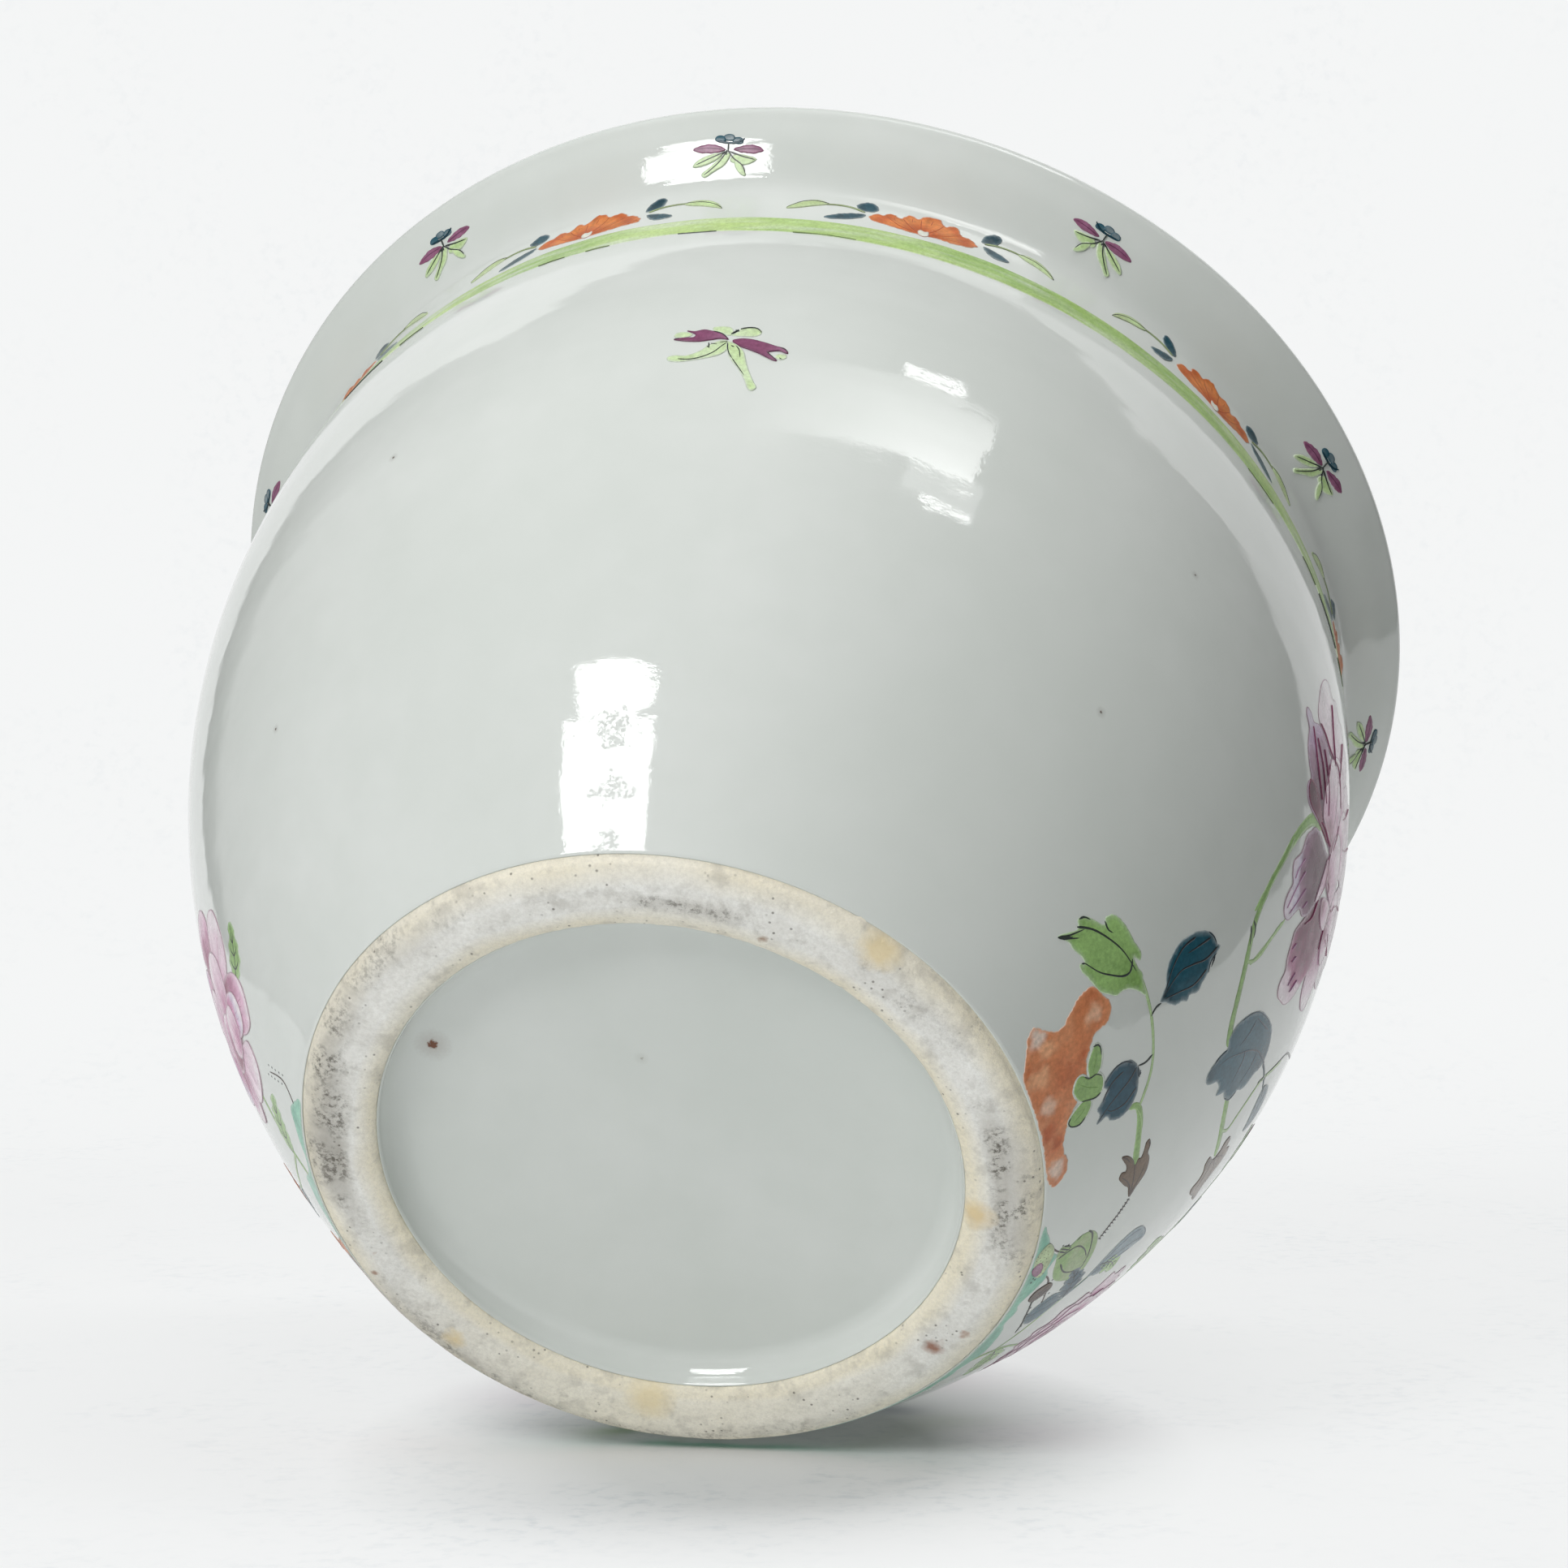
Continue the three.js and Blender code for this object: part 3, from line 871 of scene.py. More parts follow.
def even(points, step, closed=False):
    """The same line with points at even distances."""
    line = list(points) + ([points[0]] if closed else [])
    runs = [0.0]
    for a, b in zip(line, line[1:]):
        runs.append(runs[-1] + math.dist(a, b))
    count = max(2, round(runs[-1] / step))
    out = []
    k = 0
    for i in range(count if closed else count + 1):
        run = runs[-1] * i / count
        while k < len(runs) - 2 and runs[k + 1] < run:
            k += 1
        span = runs[k + 1] - runs[k]
        out.append(mix(line[k], line[k + 1], (run - runs[k]) / span if span else 0))
    return out


def ramp_tone(stops, place):
    if place <= stops[0][0]:
        return stops[0][1]
    for (a, low), (b, high) in zip(stops, stops[1:]):
        if place <= b:
            share = (place - a) / (b - a)
            return mix(low, high, share * share * (3 - 2 * share))
    return stops[-1][1]


def nearest_distance(places, loop):
    """How far each place is from the closed line."""
    a = np.array(loop)
    b = np.roll(a, -1, axis=0)
    p = np.array(places)[:, None, :]
    along = b - a
    length = np.maximum((along ** 2).sum(1), 1e-12)
    share = np.clip(((p - a) * along).sum(2) / length, 0, 1)
    gap = p - (a + share[:, :, None] * along)
    return np.sqrt((gap ** 2).sum(2)).min(1)


def inside(places, loop):
    """Which places lie within the closed line."""
    p = np.array(places)
    a = np.array(loop)
    b = np.roll(a, -1, axis=0)
    y = p[:, 1][:, None]
    crosses = (a[:, 1] > y) != (b[:, 1] > y)
    rise = np.where(np.abs(b[:, 1] - a[:, 1]) < 1e-12, 1e-12, b[:, 1] - a[:, 1])
    at = a[:, 0] + (y - a[:, 1]) / rise * (b[:, 0] - a[:, 0])
    return (crosses & (p[:, 0][:, None] < at)).sum(1) % 2 == 1


class Sheet:
    """A drawing laid on the pot round one spot: x runs to the right and y towards the lip.

    A drawing whose y runs down has down=True, and unit is its unit's length in millimetres.
    """

    def __init__(self, turn, run, centre=(0, 0), unit=1.0, down=False, lean=0.0, size=1.0, flip=False,
            squash=1.0):
        self.turn = turn * DEG
        self.run = run
        self.reach = outline_at(run)[0]
        self.centre = centre
        self.across = unit * size * (-1 if flip else 1)
        self.rise = unit * size * squash * (-1 if down else 1)
        self.lean = (math.cos(lean * DEG), math.sin(lean * DEG))

    def flat(self, x, y):
        u = (x - self.centre[0]) * self.across
        v = (y - self.centre[1]) * self.rise
        return u * self.lean[0] - v * self.lean[1], u * self.lean[1] + v * self.lean[0]

    def lay(self, u, v, lift):
        run = min(max(self.run + v, 0.4), LIP_RUN - 1)
        return skin(self.turn + u / self.reach, run, lift)


class Brush:
    """Collects strokes of enamel, each a little higher than the last, into one piece."""

    LAYER = 0.003
    LINE_LAYER = 0.001
    SUNK = -0.03
    LINE_STEP = 0.65
    GRID = 0.75
    GRID_ROW = 0.87
    EDGE = 0.28

    def __init__(self, sheet, lift=0.05):
        self.sheet = sheet
        self.level = lift
        self.top = lift
        self.vertices, self.faces, self.tones = [], [], []

    def put(self, place, lift, tone):
        self.vertices.append(self.sheet.lay(*place, lift))
        self.tones.append(tone)
        return len(self.vertices) - 1

    def line(self, points, width, tone, end=None, edge=None, closed=False, bulge=0.004, grain=0.12):
        """A stroke whose breadth goes from width to end, in millimetres."""
        end = width if end is None else end
        path = even(smooth([self.sheet.flat(*p) for p in points], closed), self.LINE_STEP, closed)
        if closed:
            path = path + [path[0]]
        edge = edge or mix(tone, (0, 0, 0), 0.12)
        total = self.LINE_STEP * (len(path) - 1)
        rows = []
        for i, spot in enumerate(path):
            before, after = path[max(i - 1, 0)], path[min(i + 1, len(path) - 1)]
            if closed and i in (0, len(path) - 1):
                before, after = path[-2], path[1]
            along = (after[0] - before[0], after[1] - before[1])
            length = math.hypot(*along) or 1
            left = (-along[1] / length, along[0] / length)
            share = i / (len(path) - 1)
            half = (width + (end - width) * share) / 2
            if not closed:
                tail = min(share, 1 - share) * total
                half *= min(1.0, 0.25 + 0.75 * math.sqrt(tail / (width + 0.2)))
            wave = noise.noise(Vector((spot[0] * 0.9, spot[1] * 0.9, self.level * 90)))
            half *= 1 + 0.14 * wave
            shade = 1 + grain * noise.noise(Vector((spot[0] * 0.5, spot[1] * 0.5, 3 + self.level * 60)))
            row = []
            for off, lift, colour in ((-1, self.SUNK, edge), (-1, self.level, edge),
                    (-0.45, self.level + bulge, tone), (0.45, self.level + bulge, tone),
                    (1, self.level, edge), (1, self.SUNK, edge)):
                place = (spot[0] + left[0] * half * off, spot[1] + left[1] * half * off)
                row.append(self.put(place, lift, tuple(c * shade for c in colour)))
            rows.append(row)
        for low, high in zip(rows, rows[1:]):
            for c in range(5):
                self.faces.append((low[c], high[c], high[c + 1], low[c + 1]))
        self.top = max(self.top, self.level + bulge)
        self.level += self.LINE_LAYER

    def wash(self, outline, stops, start=None, finish=None, edge=None, edge_width=0.5, streak=0.0,
            grain=0.06, bulge=0.02, bleed=0.0, ragged=0.0, step=None, pools=()):
        """A filled shape; stops give its tones from start to finish, both points of the drawing.

        Each pool is a place of the drawing, a radius in millimetres and the tone that gathers there.
        """
        self.level = max(self.level, self.top) + self.LAYER
        loop = smooth([self.sheet.flat(*p) for p in outline], True)
        step = step or self.GRID
        loop = even(loop, step * 0.8, True)
        area = sum(a[0] * b[1] - b[0] * a[1] for a, b in zip(loop, loop[1:] + loop[:1]))
        if area < 0:
            loop.reverse()
        count = len(loop)
        ring = []
        ragged_loop = []
        for i, (u, v) in enumerate(loop):
            a, b = loop[i - 1], loop[(i + 1) % count]
            length = math.dist(a, b) or 1
            inward = (-(b[1] - a[1]) / length, (b[0] - a[0]) / length)
            shift = ragged * noise.noise(Vector((u * 1.3, v * 1.3, self.level * 40)))
            ragged_loop.append((u + inward[0] * shift, v + inward[1] * shift))
            ring.append((u + inward[0] * (shift + self.EDGE), v + inward[1] * (shift + self.EDGE)))
        loop = ragged_loop
        low = [min(p[k] for p in loop) for k in (0, 1)]
        high = [max(p[k] for p in loop) for k in (0, 1)]
        grid = []
        rows = max(1, int((high[1] - low[1]) / (step * self.GRID_ROW)))
        columns = max(1, int((high[0] - low[0]) / step))
        for j in range(rows + 1):
            for i in range(columns + 1):
                grid.append((low[0] + (i + 0.5 * (j % 2)) * step, low[1] + j * step * self.GRID_ROW))
        far = nearest_distance(grid, loop)
        within = inside(grid, loop)
        near = nearest_distance(ring, loop)
        ring_in = inside(ring, loop)
        extra = [p for p, ok, d in zip(ring, ring_in, near) if ok and d > self.EDGE * 0.7]
        extra += [p for p, ok, d in zip(grid, within, far) if ok and d > self.EDGE + step * 0.4]
        flat = [Vector(p) for p in loop + extra]
        edges = [(i, (i + 1) % count) for i in range(count)]
        places, _, triangles, _, _, _ = delaunay_2d_cdt(flat, edges, [list(range(count))], 1, 1e-6)
        places = [tuple(p) for p in places]
        deep = nearest_distance(places, loop)
        if start is not None:
            start, finish = self.sheet.flat(*start), self.sheet.flat(*finish)
            reach = math.dist(start, finish)
        pools = [(self.sheet.flat(x, y), radius, tone) for x, y, radius, tone in pools]
        ids = []
        seed = self.level * 53
        for (u, v), d in zip(places, deep):
            cloud = noise.noise(Vector((u * 0.28, v * 0.28, seed)))
            if start is None:
                share = 0.5 + 0.7 * cloud
                ray = noise.noise(Vector((u * 0.9, v * 0.9, seed + 7)))
            else:
                share = math.hypot(u - start[0], v - start[1]) / reach + 0.1 * cloud
                turn = math.atan2(v - start[1], u - start[0])
                ray = noise.noise(Vector((math.cos(turn) * 9, math.sin(turn) * 9, seed + share)))
            tone = ramp_tone(stops, share)
            for spot, radius, pooled in pools:
                gap = math.dist(spot, (u, v)) / radius + 0.5 * noise.noise(Vector((u * 0.6, v * 0.6,
                    seed)))
                tone = mix(pooled, tone, ease(gap, 0.35, 1.1))
            shade = 1 + streak * ray + grain * noise.noise(Vector((u * 1.6, v * 1.6, seed + 20)))
            tone = tuple(max(c * shade, 0) for c in tone)
            if edge is not None and d < edge_width:
                tone = mix(edge, tone, d / edge_width)
            if d < 0.02:
                tone = mix(tone, GLAZE, bleed)
            rise = min(d / 0.8, 1)
            ids.append(self.put((u, v), self.level + bulge * rise * (2 - rise), tone))
        for a, b, c in triangles:
            self.faces.append((ids[a], ids[b], ids[c]))
        border = {}
        for face in triangles:
            for a, b in zip(face, face[1:] + face[:1]):
                if (b, a) in border:
                    del border[(b, a)]
                else:
                    border[(a, b)] = True
        skirt = {}
        for a, b in border:
            for k in (a, b):
                if k not in skirt:
                    skirt[k] = self.put(places[k], self.SUNK, self.tones[ids[k]])
            self.faces.append((ids[a], skirt[a], skirt[b], ids[b]))
        self.top = self.level + bulge
        self.level = self.top + self.LAYER

    def dot(self, x, y, radius, tone, bulge=0.05):
        centre = self.sheet.flat(x, y)
        rim = [(centre[0] + radius * math.cos(k * math.pi / 4),
                centre[1] + radius * math.sin(k * math.pi / 4))
            for k in range(8)]
        top = self.put(centre, self.level + bulge, tone)
        low = [self.put(p, self.SUNK, mix(tone, GLAZE, 0.15)) for p in rim]
        for k in range(8):
            self.faces.append((top, low[k], low[(k + 1) % 8]))

    def done(self, name, material, slot="painted_enamel"):
        return make_object(name, self.vertices, self.faces, material, slot, self.tones)


# Tones of the enamels

DARK = srgb("#39403c")
INK = srgb("#2b2f33")
LEAF_GREEN = srgb("#93b872")
LEAF_SHADE = srgb("#7fa35e")
LOBE_GREEN = srgb("#8cae6c")
PALE_STEM = srgb("#bdd2a0")
STEM_GREEN = srgb("#adc893")
SPRIG_GREEN = srgb("#bfd79e")
TENDRIL_GREEN = srgb("#aebf8b")
BAND_GREEN = srgb("#afcc78")
BAND_DEEP = srgb("#96b95c")
TEAL = srgb("#215261")
TEAL_DEEP = srgb("#163945")
TEAL_BLUE = srgb("#204b5c")
TEAL_BLUE_DEEP = srgb("#183441")
BLUE_GREY = srgb("#305a69")
BLUE_GREY_DEEP = srgb("#274651")
MIST_BLUE = srgb("#7a8e96")
CORAL_LIGHT = srgb("#dfa57c")
CORAL = srgb("#cb8055")
CORAL_DEEP = srgb("#b9643c")
GARLAND_LIGHT = srgb("#cd7b3d")
GARLAND = srgb("#ba5a22")
GARLAND_DEEP = srgb("#a24516")
BROWN = srgb("#6e5b48")
BROWN_DEEP = srgb("#4f433d")
FRUIT = srgb("#a0b088")
TURQUOISE = srgb("#84c0a6")
TURQUOISE_DEEP = srgb("#68a790")
PURPLE = srgb("#8c5c78")
WINE = srgb("#4d1830")
MAGENTA = srgb("#7b3350")
ROSE = srgb("#a5648a")
MAUVE = srgb("#b897b8")
VIOLET = srgb("#bfb9d2")
BLUSH = srgb("#e3cbd8")
PETAL_LINE = srgb("#96507a")
CRIMSON = srgb("#7f214a")
PINK = srgb("#c47ba6")
PETAL_WHITE = srgb("#ebe1e6")
CREAM = srgb("#e6dfb4")
AUBERGINE = srgb("#7f4766")
AUBERGINE_LIGHT = srgb("#93617f")

LEAF_TONES = {
    "green": (LEAF_GREEN, LEAF_SHADE, DARK),
    "lime": (LOBE_GREEN, LEAF_GREEN, DARK),
    "teal": (TEAL, TEAL_DEEP, INK),
    "blue": (TEAL_BLUE, TEAL_BLUE_DEEP, INK),
    "grey": (BLUE_GREY, BLUE_GREY_DEEP, srgb("#33424f")),
    "mist": (MIST_BLUE, BLUE_GREY, srgb("#5d6c78")),
}


# Motifs seen in the photograph, each drawn in its own sheet's unit

def painted_leaf(brush, outline, veins, tones, stalk, tip, vein_width=0.42, border=None):
    fill, shade, dark = LEAF_TONES[tones]
    brush.wash(outline, [(0.0, shade), (0.35, fill), (0.8, fill), (1.05, shade)], stalk, tip,
        edge=mix(fill, GLAZE, 0.3), edge_width=0.7, streak=0.12, grain=0.22, ragged=0.16, bleed=0.35)
    for vein in veins:
        brush.line(vein, vein_width, dark, 0.2, bulge=0.005)
    if border:
        for part in border:
            brush.line(part, 0.34, mix(dark, fill, 0.25), 0.22, bulge=0.005)


def garden_foot(enamel):
    """The rock, its lobes, the low leaves, a calyx and the buds on the photographed side."""
    sheet = Sheet(345, 24, (486, 240), 0.1, down=True)

    rock = Brush(sheet)
    rock.wash(trace("138,262 142,248 160,243 174,236 200,231 218,240 227,258 226,285 236,302 250,315 "
            "262,328 285,332 298,345 303,360 330,373 342,387 365,404 400,424 425,424 452,417 480,422 "
            "498,438 500,454 486,468 455,476 415,476 350,476 250,476 192,474 168,460 140,440 117,420 "
            "110,402 130,386 150,372 161,350 152,330 146,312 137,290"),
        [(0.0, mix(CORAL, CORAL_LIGHT, 0.4)), (0.5, CORAL), (1.0, mix(CORAL, CORAL_DEEP, 0.5))],
        edge=mix(CORAL_LIGHT, CORAL, 0.4), edge_width=0.6, grain=0.26, bulge=0.015, bleed=0.55,
        ragged=0.45,
        pools=[(188, 274, 2.4, mix(CORAL_LIGHT, GLAZE, 0.15)), (252, 322, 2.6, CORAL_DEEP),
            (134, 405, 3.0, mix(CORAL_LIGHT, GLAZE, 0.6)), (172, 398, 2.6, CORAL_LIGHT),
            (255, 378, 3.4, mix(CORAL, CORAL_DEEP, 0.6)), (215, 440, 3.2, CORAL_LIGHT),
            (290, 440, 2.4, mix(CORAL_LIGHT, GLAZE, 0.3)), (350, 462, 3.0, CORAL_DEEP),
            (390, 440, 2.2, CORAL_DEEP), (456, 448, 2.8, mix(CORAL_LIGHT, GLAZE, 0.5))])
    rock.done("rock_coral", enamel["red"])

    lobes = Brush(sheet, 0.10)
    first = trace("248,297 256,288 276,290 298,302 307,318 300,331 280,329 262,318")
    second = trace("285,347 301,335 305,313 322,302 345,310 352,327 345,347 335,366 310,376 295,371 "
        "284,360")
    third = trace("343,347 360,344 378,361 384,380 375,400 362,404 351,390 342,367")
    for lobe in (first, second, third):
        lobes.line(lobe, 0.9, mix(GLAZE, LOBE_GREEN, 0.2), closed=True)
    for lobe in (first, second, third):
        lobes.wash(lobe, [(0, LOBE_GREEN), (1, mix(LOBE_GREEN, LEAF_GREEN, 0.4))], grain=0.1,
            edge=mix(LOBE_GREEN, LEAF_GREEN, 0.7), ragged=0.1)
    lobes.line(trace("247,303 250,292 260,288 275,291"), 0.4, DARK, 0.2)
    lobes.line(trace("290,343 302,333 305,315 318,303"), 0.3, DARK, 0.2)
    lobes.line(trace("350,315 352,330 345,348 337,364"), 0.4, DARK, 0.2)
    lobes.line(trace("377,362 385,380 376,400 363,405 355,396"), 0.45, DARK, 0.25)
    lobes.line(trace("262,300 282,311 296,322"), 0.25, LEAF_SHADE, 0.2)
    lobes.line(trace("335,318 320,340 300,358"), 0.25, LEAF_SHADE, 0.2)
    lobes.line(trace("352,356 364,372 369,392"), 0.25, LEAF_SHADE, 0.2)
    lobes.done("rock_lobes", enamel["thick"])

    stems = Brush(sheet)
    stems.line(trace("190,142 235,143 285,148 330,157 370,168 400,182 430,204 448,218"), 0.75,
        STEM_GREEN, 0.7, edge=mix(STEM_GREEN, DARK, 0.3))
    stems.line(trace("436,248 440,230 452,220 480,217 520,220 560,221 590,219"), 1.5, LOBE_GREEN, 1.9,
        edge=STEM_GREEN)
    stems.line(trace("448,226 480,214 530,213 580,213"), 0.3, STEM_GREEN, 0.2)
    stems.line(trace("362,166 366,188 360,210"), 0.5, DARK, 0.3)
    stems.line(trace("283,116 282,132 289,150"), 0.5, DARK, 0.35)
    stems.line(trace("675,212 700,229 730,254 752,268"), 0.4, BROWN_DEEP, 0.3)
    for k in range(13):
        t = k / 12
        x, y = 678 + 76 * t, 214 + 53 * t
        stems.line([(x - 4, y + 6), (x + 4, y - 6)], 0.35, INK, 0.3)
    stems.line(trace("845,284 875,279 905,275 930,268"), 0.7, LOBE_GREEN, 0.4)
    stems.line(trace("883,215 903,238 922,262 934,278"), 0.7, MIST_BLUE, 0.4)
    stems.line(trace("872,402 905,390 940,378 975,362 1010,352"), 0.5, DARK, 0.4)
    for k in range(9):
        stems.dot(882 + 13 * k, 395 - 5 * k + 4 * (k % 2), 0.45, DARK)
    stems.done("low_stems", enamel["thick"])

    leaf = Brush(sheet)
    painted_leaf(leaf,
        trace("12,258 22,238 36,214 22,202 30,185 46,176 72,161 64,150 74,131 92,124 112,121 140,121 "
            "170,118 180,129 166,139 188,139 203,135 218,141 246,145 232,155 214,170 201,190 196,213 "
            "182,226 165,241 130,249 100,256 88,251 96,241 78,240 56,246 38,246"),
        [trace("31,213 60,188 100,168 140,154 190,147"),
            trace("165,143 181,160 176,180 155,203 130,224 92,242"), trace("68,156 84,160 98,154"),
            trace("24,200 30,188 44,180"), trace("14,257 28,240 40,216 46,203"),
            trace("22,254 38,236 50,222"), [(90, 247), (96, 241)]],
        "green", (200, 150), (20, 250), 0.5)
    leaf.line(trace("14,258 25,248 38,232"), 0.9, DARK, 0.3)
    leaf.done("leaf_serrated", enamel["thick"])

    leaf = Brush(sheet)
    painted_leaf(leaf,
        trace("338,222 352,212 368,208 376,203 384,212 405,218 426,232 438,252 441,276 431,300 "
            "415,309 418,337 400,326 385,330 374,317 358,298 342,306 328,284 324,256 329,238"),
        [trace("360,214 375,240 384,270 396,302 413,332"), trace("346,248 350,280 362,300 376,314"),
            trace("400,222 416,258 412,292 400,306"), [(378, 205), (382, 212)]],
        "blue", (362, 208), (412, 335), 0.45,
        [trace("345,222 330,240 326,268 340,302"), trace("360,210 385,213 372,206")])
    leaf.done("leaf_blue_low", enamel["thick"])

    leaf = Brush(sheet)
    painted_leaf(leaf,
        trace("250,-60 264,-69 280,-71 291,-81 296,-64 298,-42 310,-30 318,-6 325,10 323,22 317,38 "
            "323,48 315,62 311,80 299,96 289,106 279,118 271,108 261,92 244,82 231,68 223,48 218,24 "
            "221,0 228,-25 238,-44"),
        [trace("287,-72 286,-30 272,10 263,50 276,108"), trace("303,-25 307,18 296,58 282,104"),
            trace("236,-22 231,18 243,58 270,98"), trace("262,-60 255,-25 247,12"),
            [(298, -58), (308, -40)]],
        "teal", (282, 112), (280, -78), 0.5,
        [trace("295,-64 299,-42 312,-28"), trace("250,-60 266,-70 282,-72")])
    leaf.done("leaf_teal_low", enamel["thick"])

    calyx = Brush(sheet)
    calyx.wash(trace("545,184 560,178 578,183 592,176 610,174 630,178 645,190 655,201 672,214 655,223 "
            "640,228 629,241 615,253 598,265 585,259 589,247 575,248 560,257 543,266 548,250 560,236 "
            "574,226 588,221 574,213 580,205 566,198 549,194"),
        [(0, BROWN_DEEP), (0.3, BROWN), (1, BROWN)], (668, 214), (550, 220),
        edge=mix(BROWN, BROWN_DEEP, 0.6), streak=0.2, grain=0.12)
    for vein in (trace("660,212 630,196 600,186"), trace("655,216 625,232 600,256"),
            trace("650,214 610,218 585,221"), trace("547,186 562,181 576,186"),
            trace("545,264 556,250 572,238")):
        calyx.line(vein, 0.38, BROWN_DEEP, 0.2)
    calyx.done("calyx_brown", enamel["thick"])

    bud = Brush(sheet)
    bud.wash(trace("706,332 711,306 730,285 760,271 800,265 840,267 860,281 852,312 839,346 820,371 "
            "790,386 760,393 728,399 712,391 722,366 709,347"),
        [(0, FRUIT), (1, LOBE_GREEN)], edge=mix(FRUIT, LEAF_GREEN, 0.6), grain=0.1, bleed=0.3)
    for vein in (trace("704,320 720,304 760,290 800,282 838,284"),
            trace("748,392 736,345 758,312 792,288"), trace("772,374 806,350 823,320 826,290"),
            trace("714,386 726,364 739,380"), [(708, 340), (716, 350)], [(716, 396), (736, 362)],
            [(722, 398), (740, 372)]):
        bud.line(vein, 0.5, DARK, 0.25)
    bud.wash(trace("828,382 836,364 852,359 868,370 879,392 874,412 858,421 838,412"),
        [(0, BROWN_DEEP), (1, BROWN)], edge=BROWN_DEEP, grain=0.2)
    bud.line(trace("836,372 850,390 866,412"), 0.35, INK, 0.2)
    bud.line(trace("850,364 862,382 872,400"), 0.35, INK, 0.2)
    bud.wash(trace("672,445 690,425 720,415 760,418 782,430 770,450 740,465 700,472"),
        [(0, FRUIT), (1, PALE_STEM)], edge=FRUIT, grain=0.1, bleed=0.4)
    bud.wash(trace("724,452 742,437 764,434 772,446 757,462 735,470"),
        [(0, PURPLE), (1, mix(PURPLE, BLUSH, 0.3))], edge=PURPLE)
    for row in range(4):
        for k in range(8):
            bud.dot(682 + 13 * k + 5 * row, 440 + 9 * row - 2.6 * k + 3 * (k % 2), 0.42, DARK)
    bud.done("bud_green", enamel["thick"])

    leaf = Brush(sheet)
    painted_leaf(leaf,
        trace("797,130 799,110 808,90 825,72 845,56 858,60 863,85 871,118 886,140 894,165 897,190 "
            "889,208 886,222 865,212 840,195 820,175 803,152"),
        [trace("850,62 845,110 858,160 885,216"), trace("812,96 812,130 832,168 868,206"),
            trace("862,100 868,140 878,176 886,206")],
        "mist", (886, 218), (848, 60), 0.4, [trace("812,88 828,70 846,57")])
    leaf.done("leaf_mist_low", enamel["thick"])
    leaf = Brush(sheet)
    painted_leaf(leaf,
        trace("890,330 893,305 908,285 930,278 955,290 976,312 984,340 970,362 945,376 918,368 "
            "902,352"),
        [trace("928,282 938,315 944,345 946,372"), trace("902,305 910,330 924,356")], "grey",
        (930, 280), (948, 374), 0.4)
    leaf.done("leaf_grey_low", enamel["thick"])


def climbing_stems(enamel):
    """The stem under the large peony with its leaves and calyx."""
    sheet = Sheet(352, 64, (474.5, 200), 0.1, down=True)
    stems = Brush(sheet, 0.04)
    edge = mix(STEM_GREEN, DARK, 0.35)
    stems.line(trace("208,55 209,110 214,160 208,190 193,212"), 0.9, STEM_GREEN, 0.8, edge=edge)
    stems.line(trace("92,-60 100,0 105,60 118,110 132,145 155,175 200,214 250,252 300,281 345,294"),
        1.3, LOBE_GREEN, 2.0, edge=edge)
    stems.line(trace("480,275 500,270 560,262 620,246 672,232"), 1.8, LOBE_GREEN, 1.7, edge=STEM_GREEN)
    stems.line(trace("590,252 606,222 588,190 566,150 552,104 562,50 575,-10"), 0.9, STEM_GREEN, 0.9,
        edge=edge)
    stems.line(trace("498,122 528,104 560,88 592,74"), 0.7, BLUE_GREY_DEEP, 0.6)
    for points in (trace("132,160 150,160 165,172"), trace("136,172 152,178 170,190"),
            [(545, 92), (556, 105)], [(550, 78), (566, 84)]):
        stems.line(points, 0.6, DARK, 0.35)
    stems.done("stem_rose", enamel["thick"])

    leaf = Brush(sheet, 0.09)
    painted_leaf(leaf,
        trace("314,242 324,200 340,170 360,148 384,130 410,113 450,106 488,118 500,140 498,165 "
            "507,190 506,215 495,235 500,262 482,286 462,296 452,324 434,316 412,330 404,350 398,362 "
            "378,369 360,352 352,312 350,294 330,290 315,268"),
        [trace("500,118 470,140 440,166 412,205 394,245 376,290 372,330"),
            trace("410,130 380,156 350,180"), trace("400,225 420,230 455,268"),
            trace("440,170 462,190 480,230"), trace("352,185 366,215 372,250")],
        "grey", (495, 120), (376, 360), 0.55,
        [trace("316,240 326,200 345,168 380,136 405,122"), trace("352,296 354,330 374,366"),
            trace("482,286 500,264 495,238")])
    leaf.done("leaf_grey_large", enamel["thick"])
    leaf = Brush(sheet, 0.07)
    painted_leaf(leaf, trace("590,72 600,45 625,24 660,18 690,30 698,62 690,96 660,92 625,88"),
        [trace("592,72 630,60 680,62"), [(620, 42), (645, 48)], [(630, 82), (655, 76)]], "grey",
        (592, 72), (696, 62), 0.4)
    leaf.done("leaf_grey_upper", enamel["thick"])

    calyx = Brush(sheet)
    calyx.wash(trace("645,188 660,176 684,175 690,158 712,153 735,165 752,185 770,205 790,205 812,208 "
            "800,226 778,245 760,270 736,282 722,266 700,262 670,272 655,262 672,245 680,228 668,212 "
            "652,205"),
        [(0, BROWN_DEEP), (0.4, BROWN), (1, BROWN)], (665, 232), (800, 210),
        edge=mix(BROWN, BROWN_DEEP, 0.5), streak=0.2)
    for vein in (trace("678,230 720,205 765,200"), trace("682,238 722,240 760,250"),
            trace("684,222 700,185 715,165"), trace("808,210 785,235 765,262")):
        calyx.line(vein, 0.45, BROWN_DEEP, 0.2)
    calyx.done("calyx_upper", enamel["thick"])


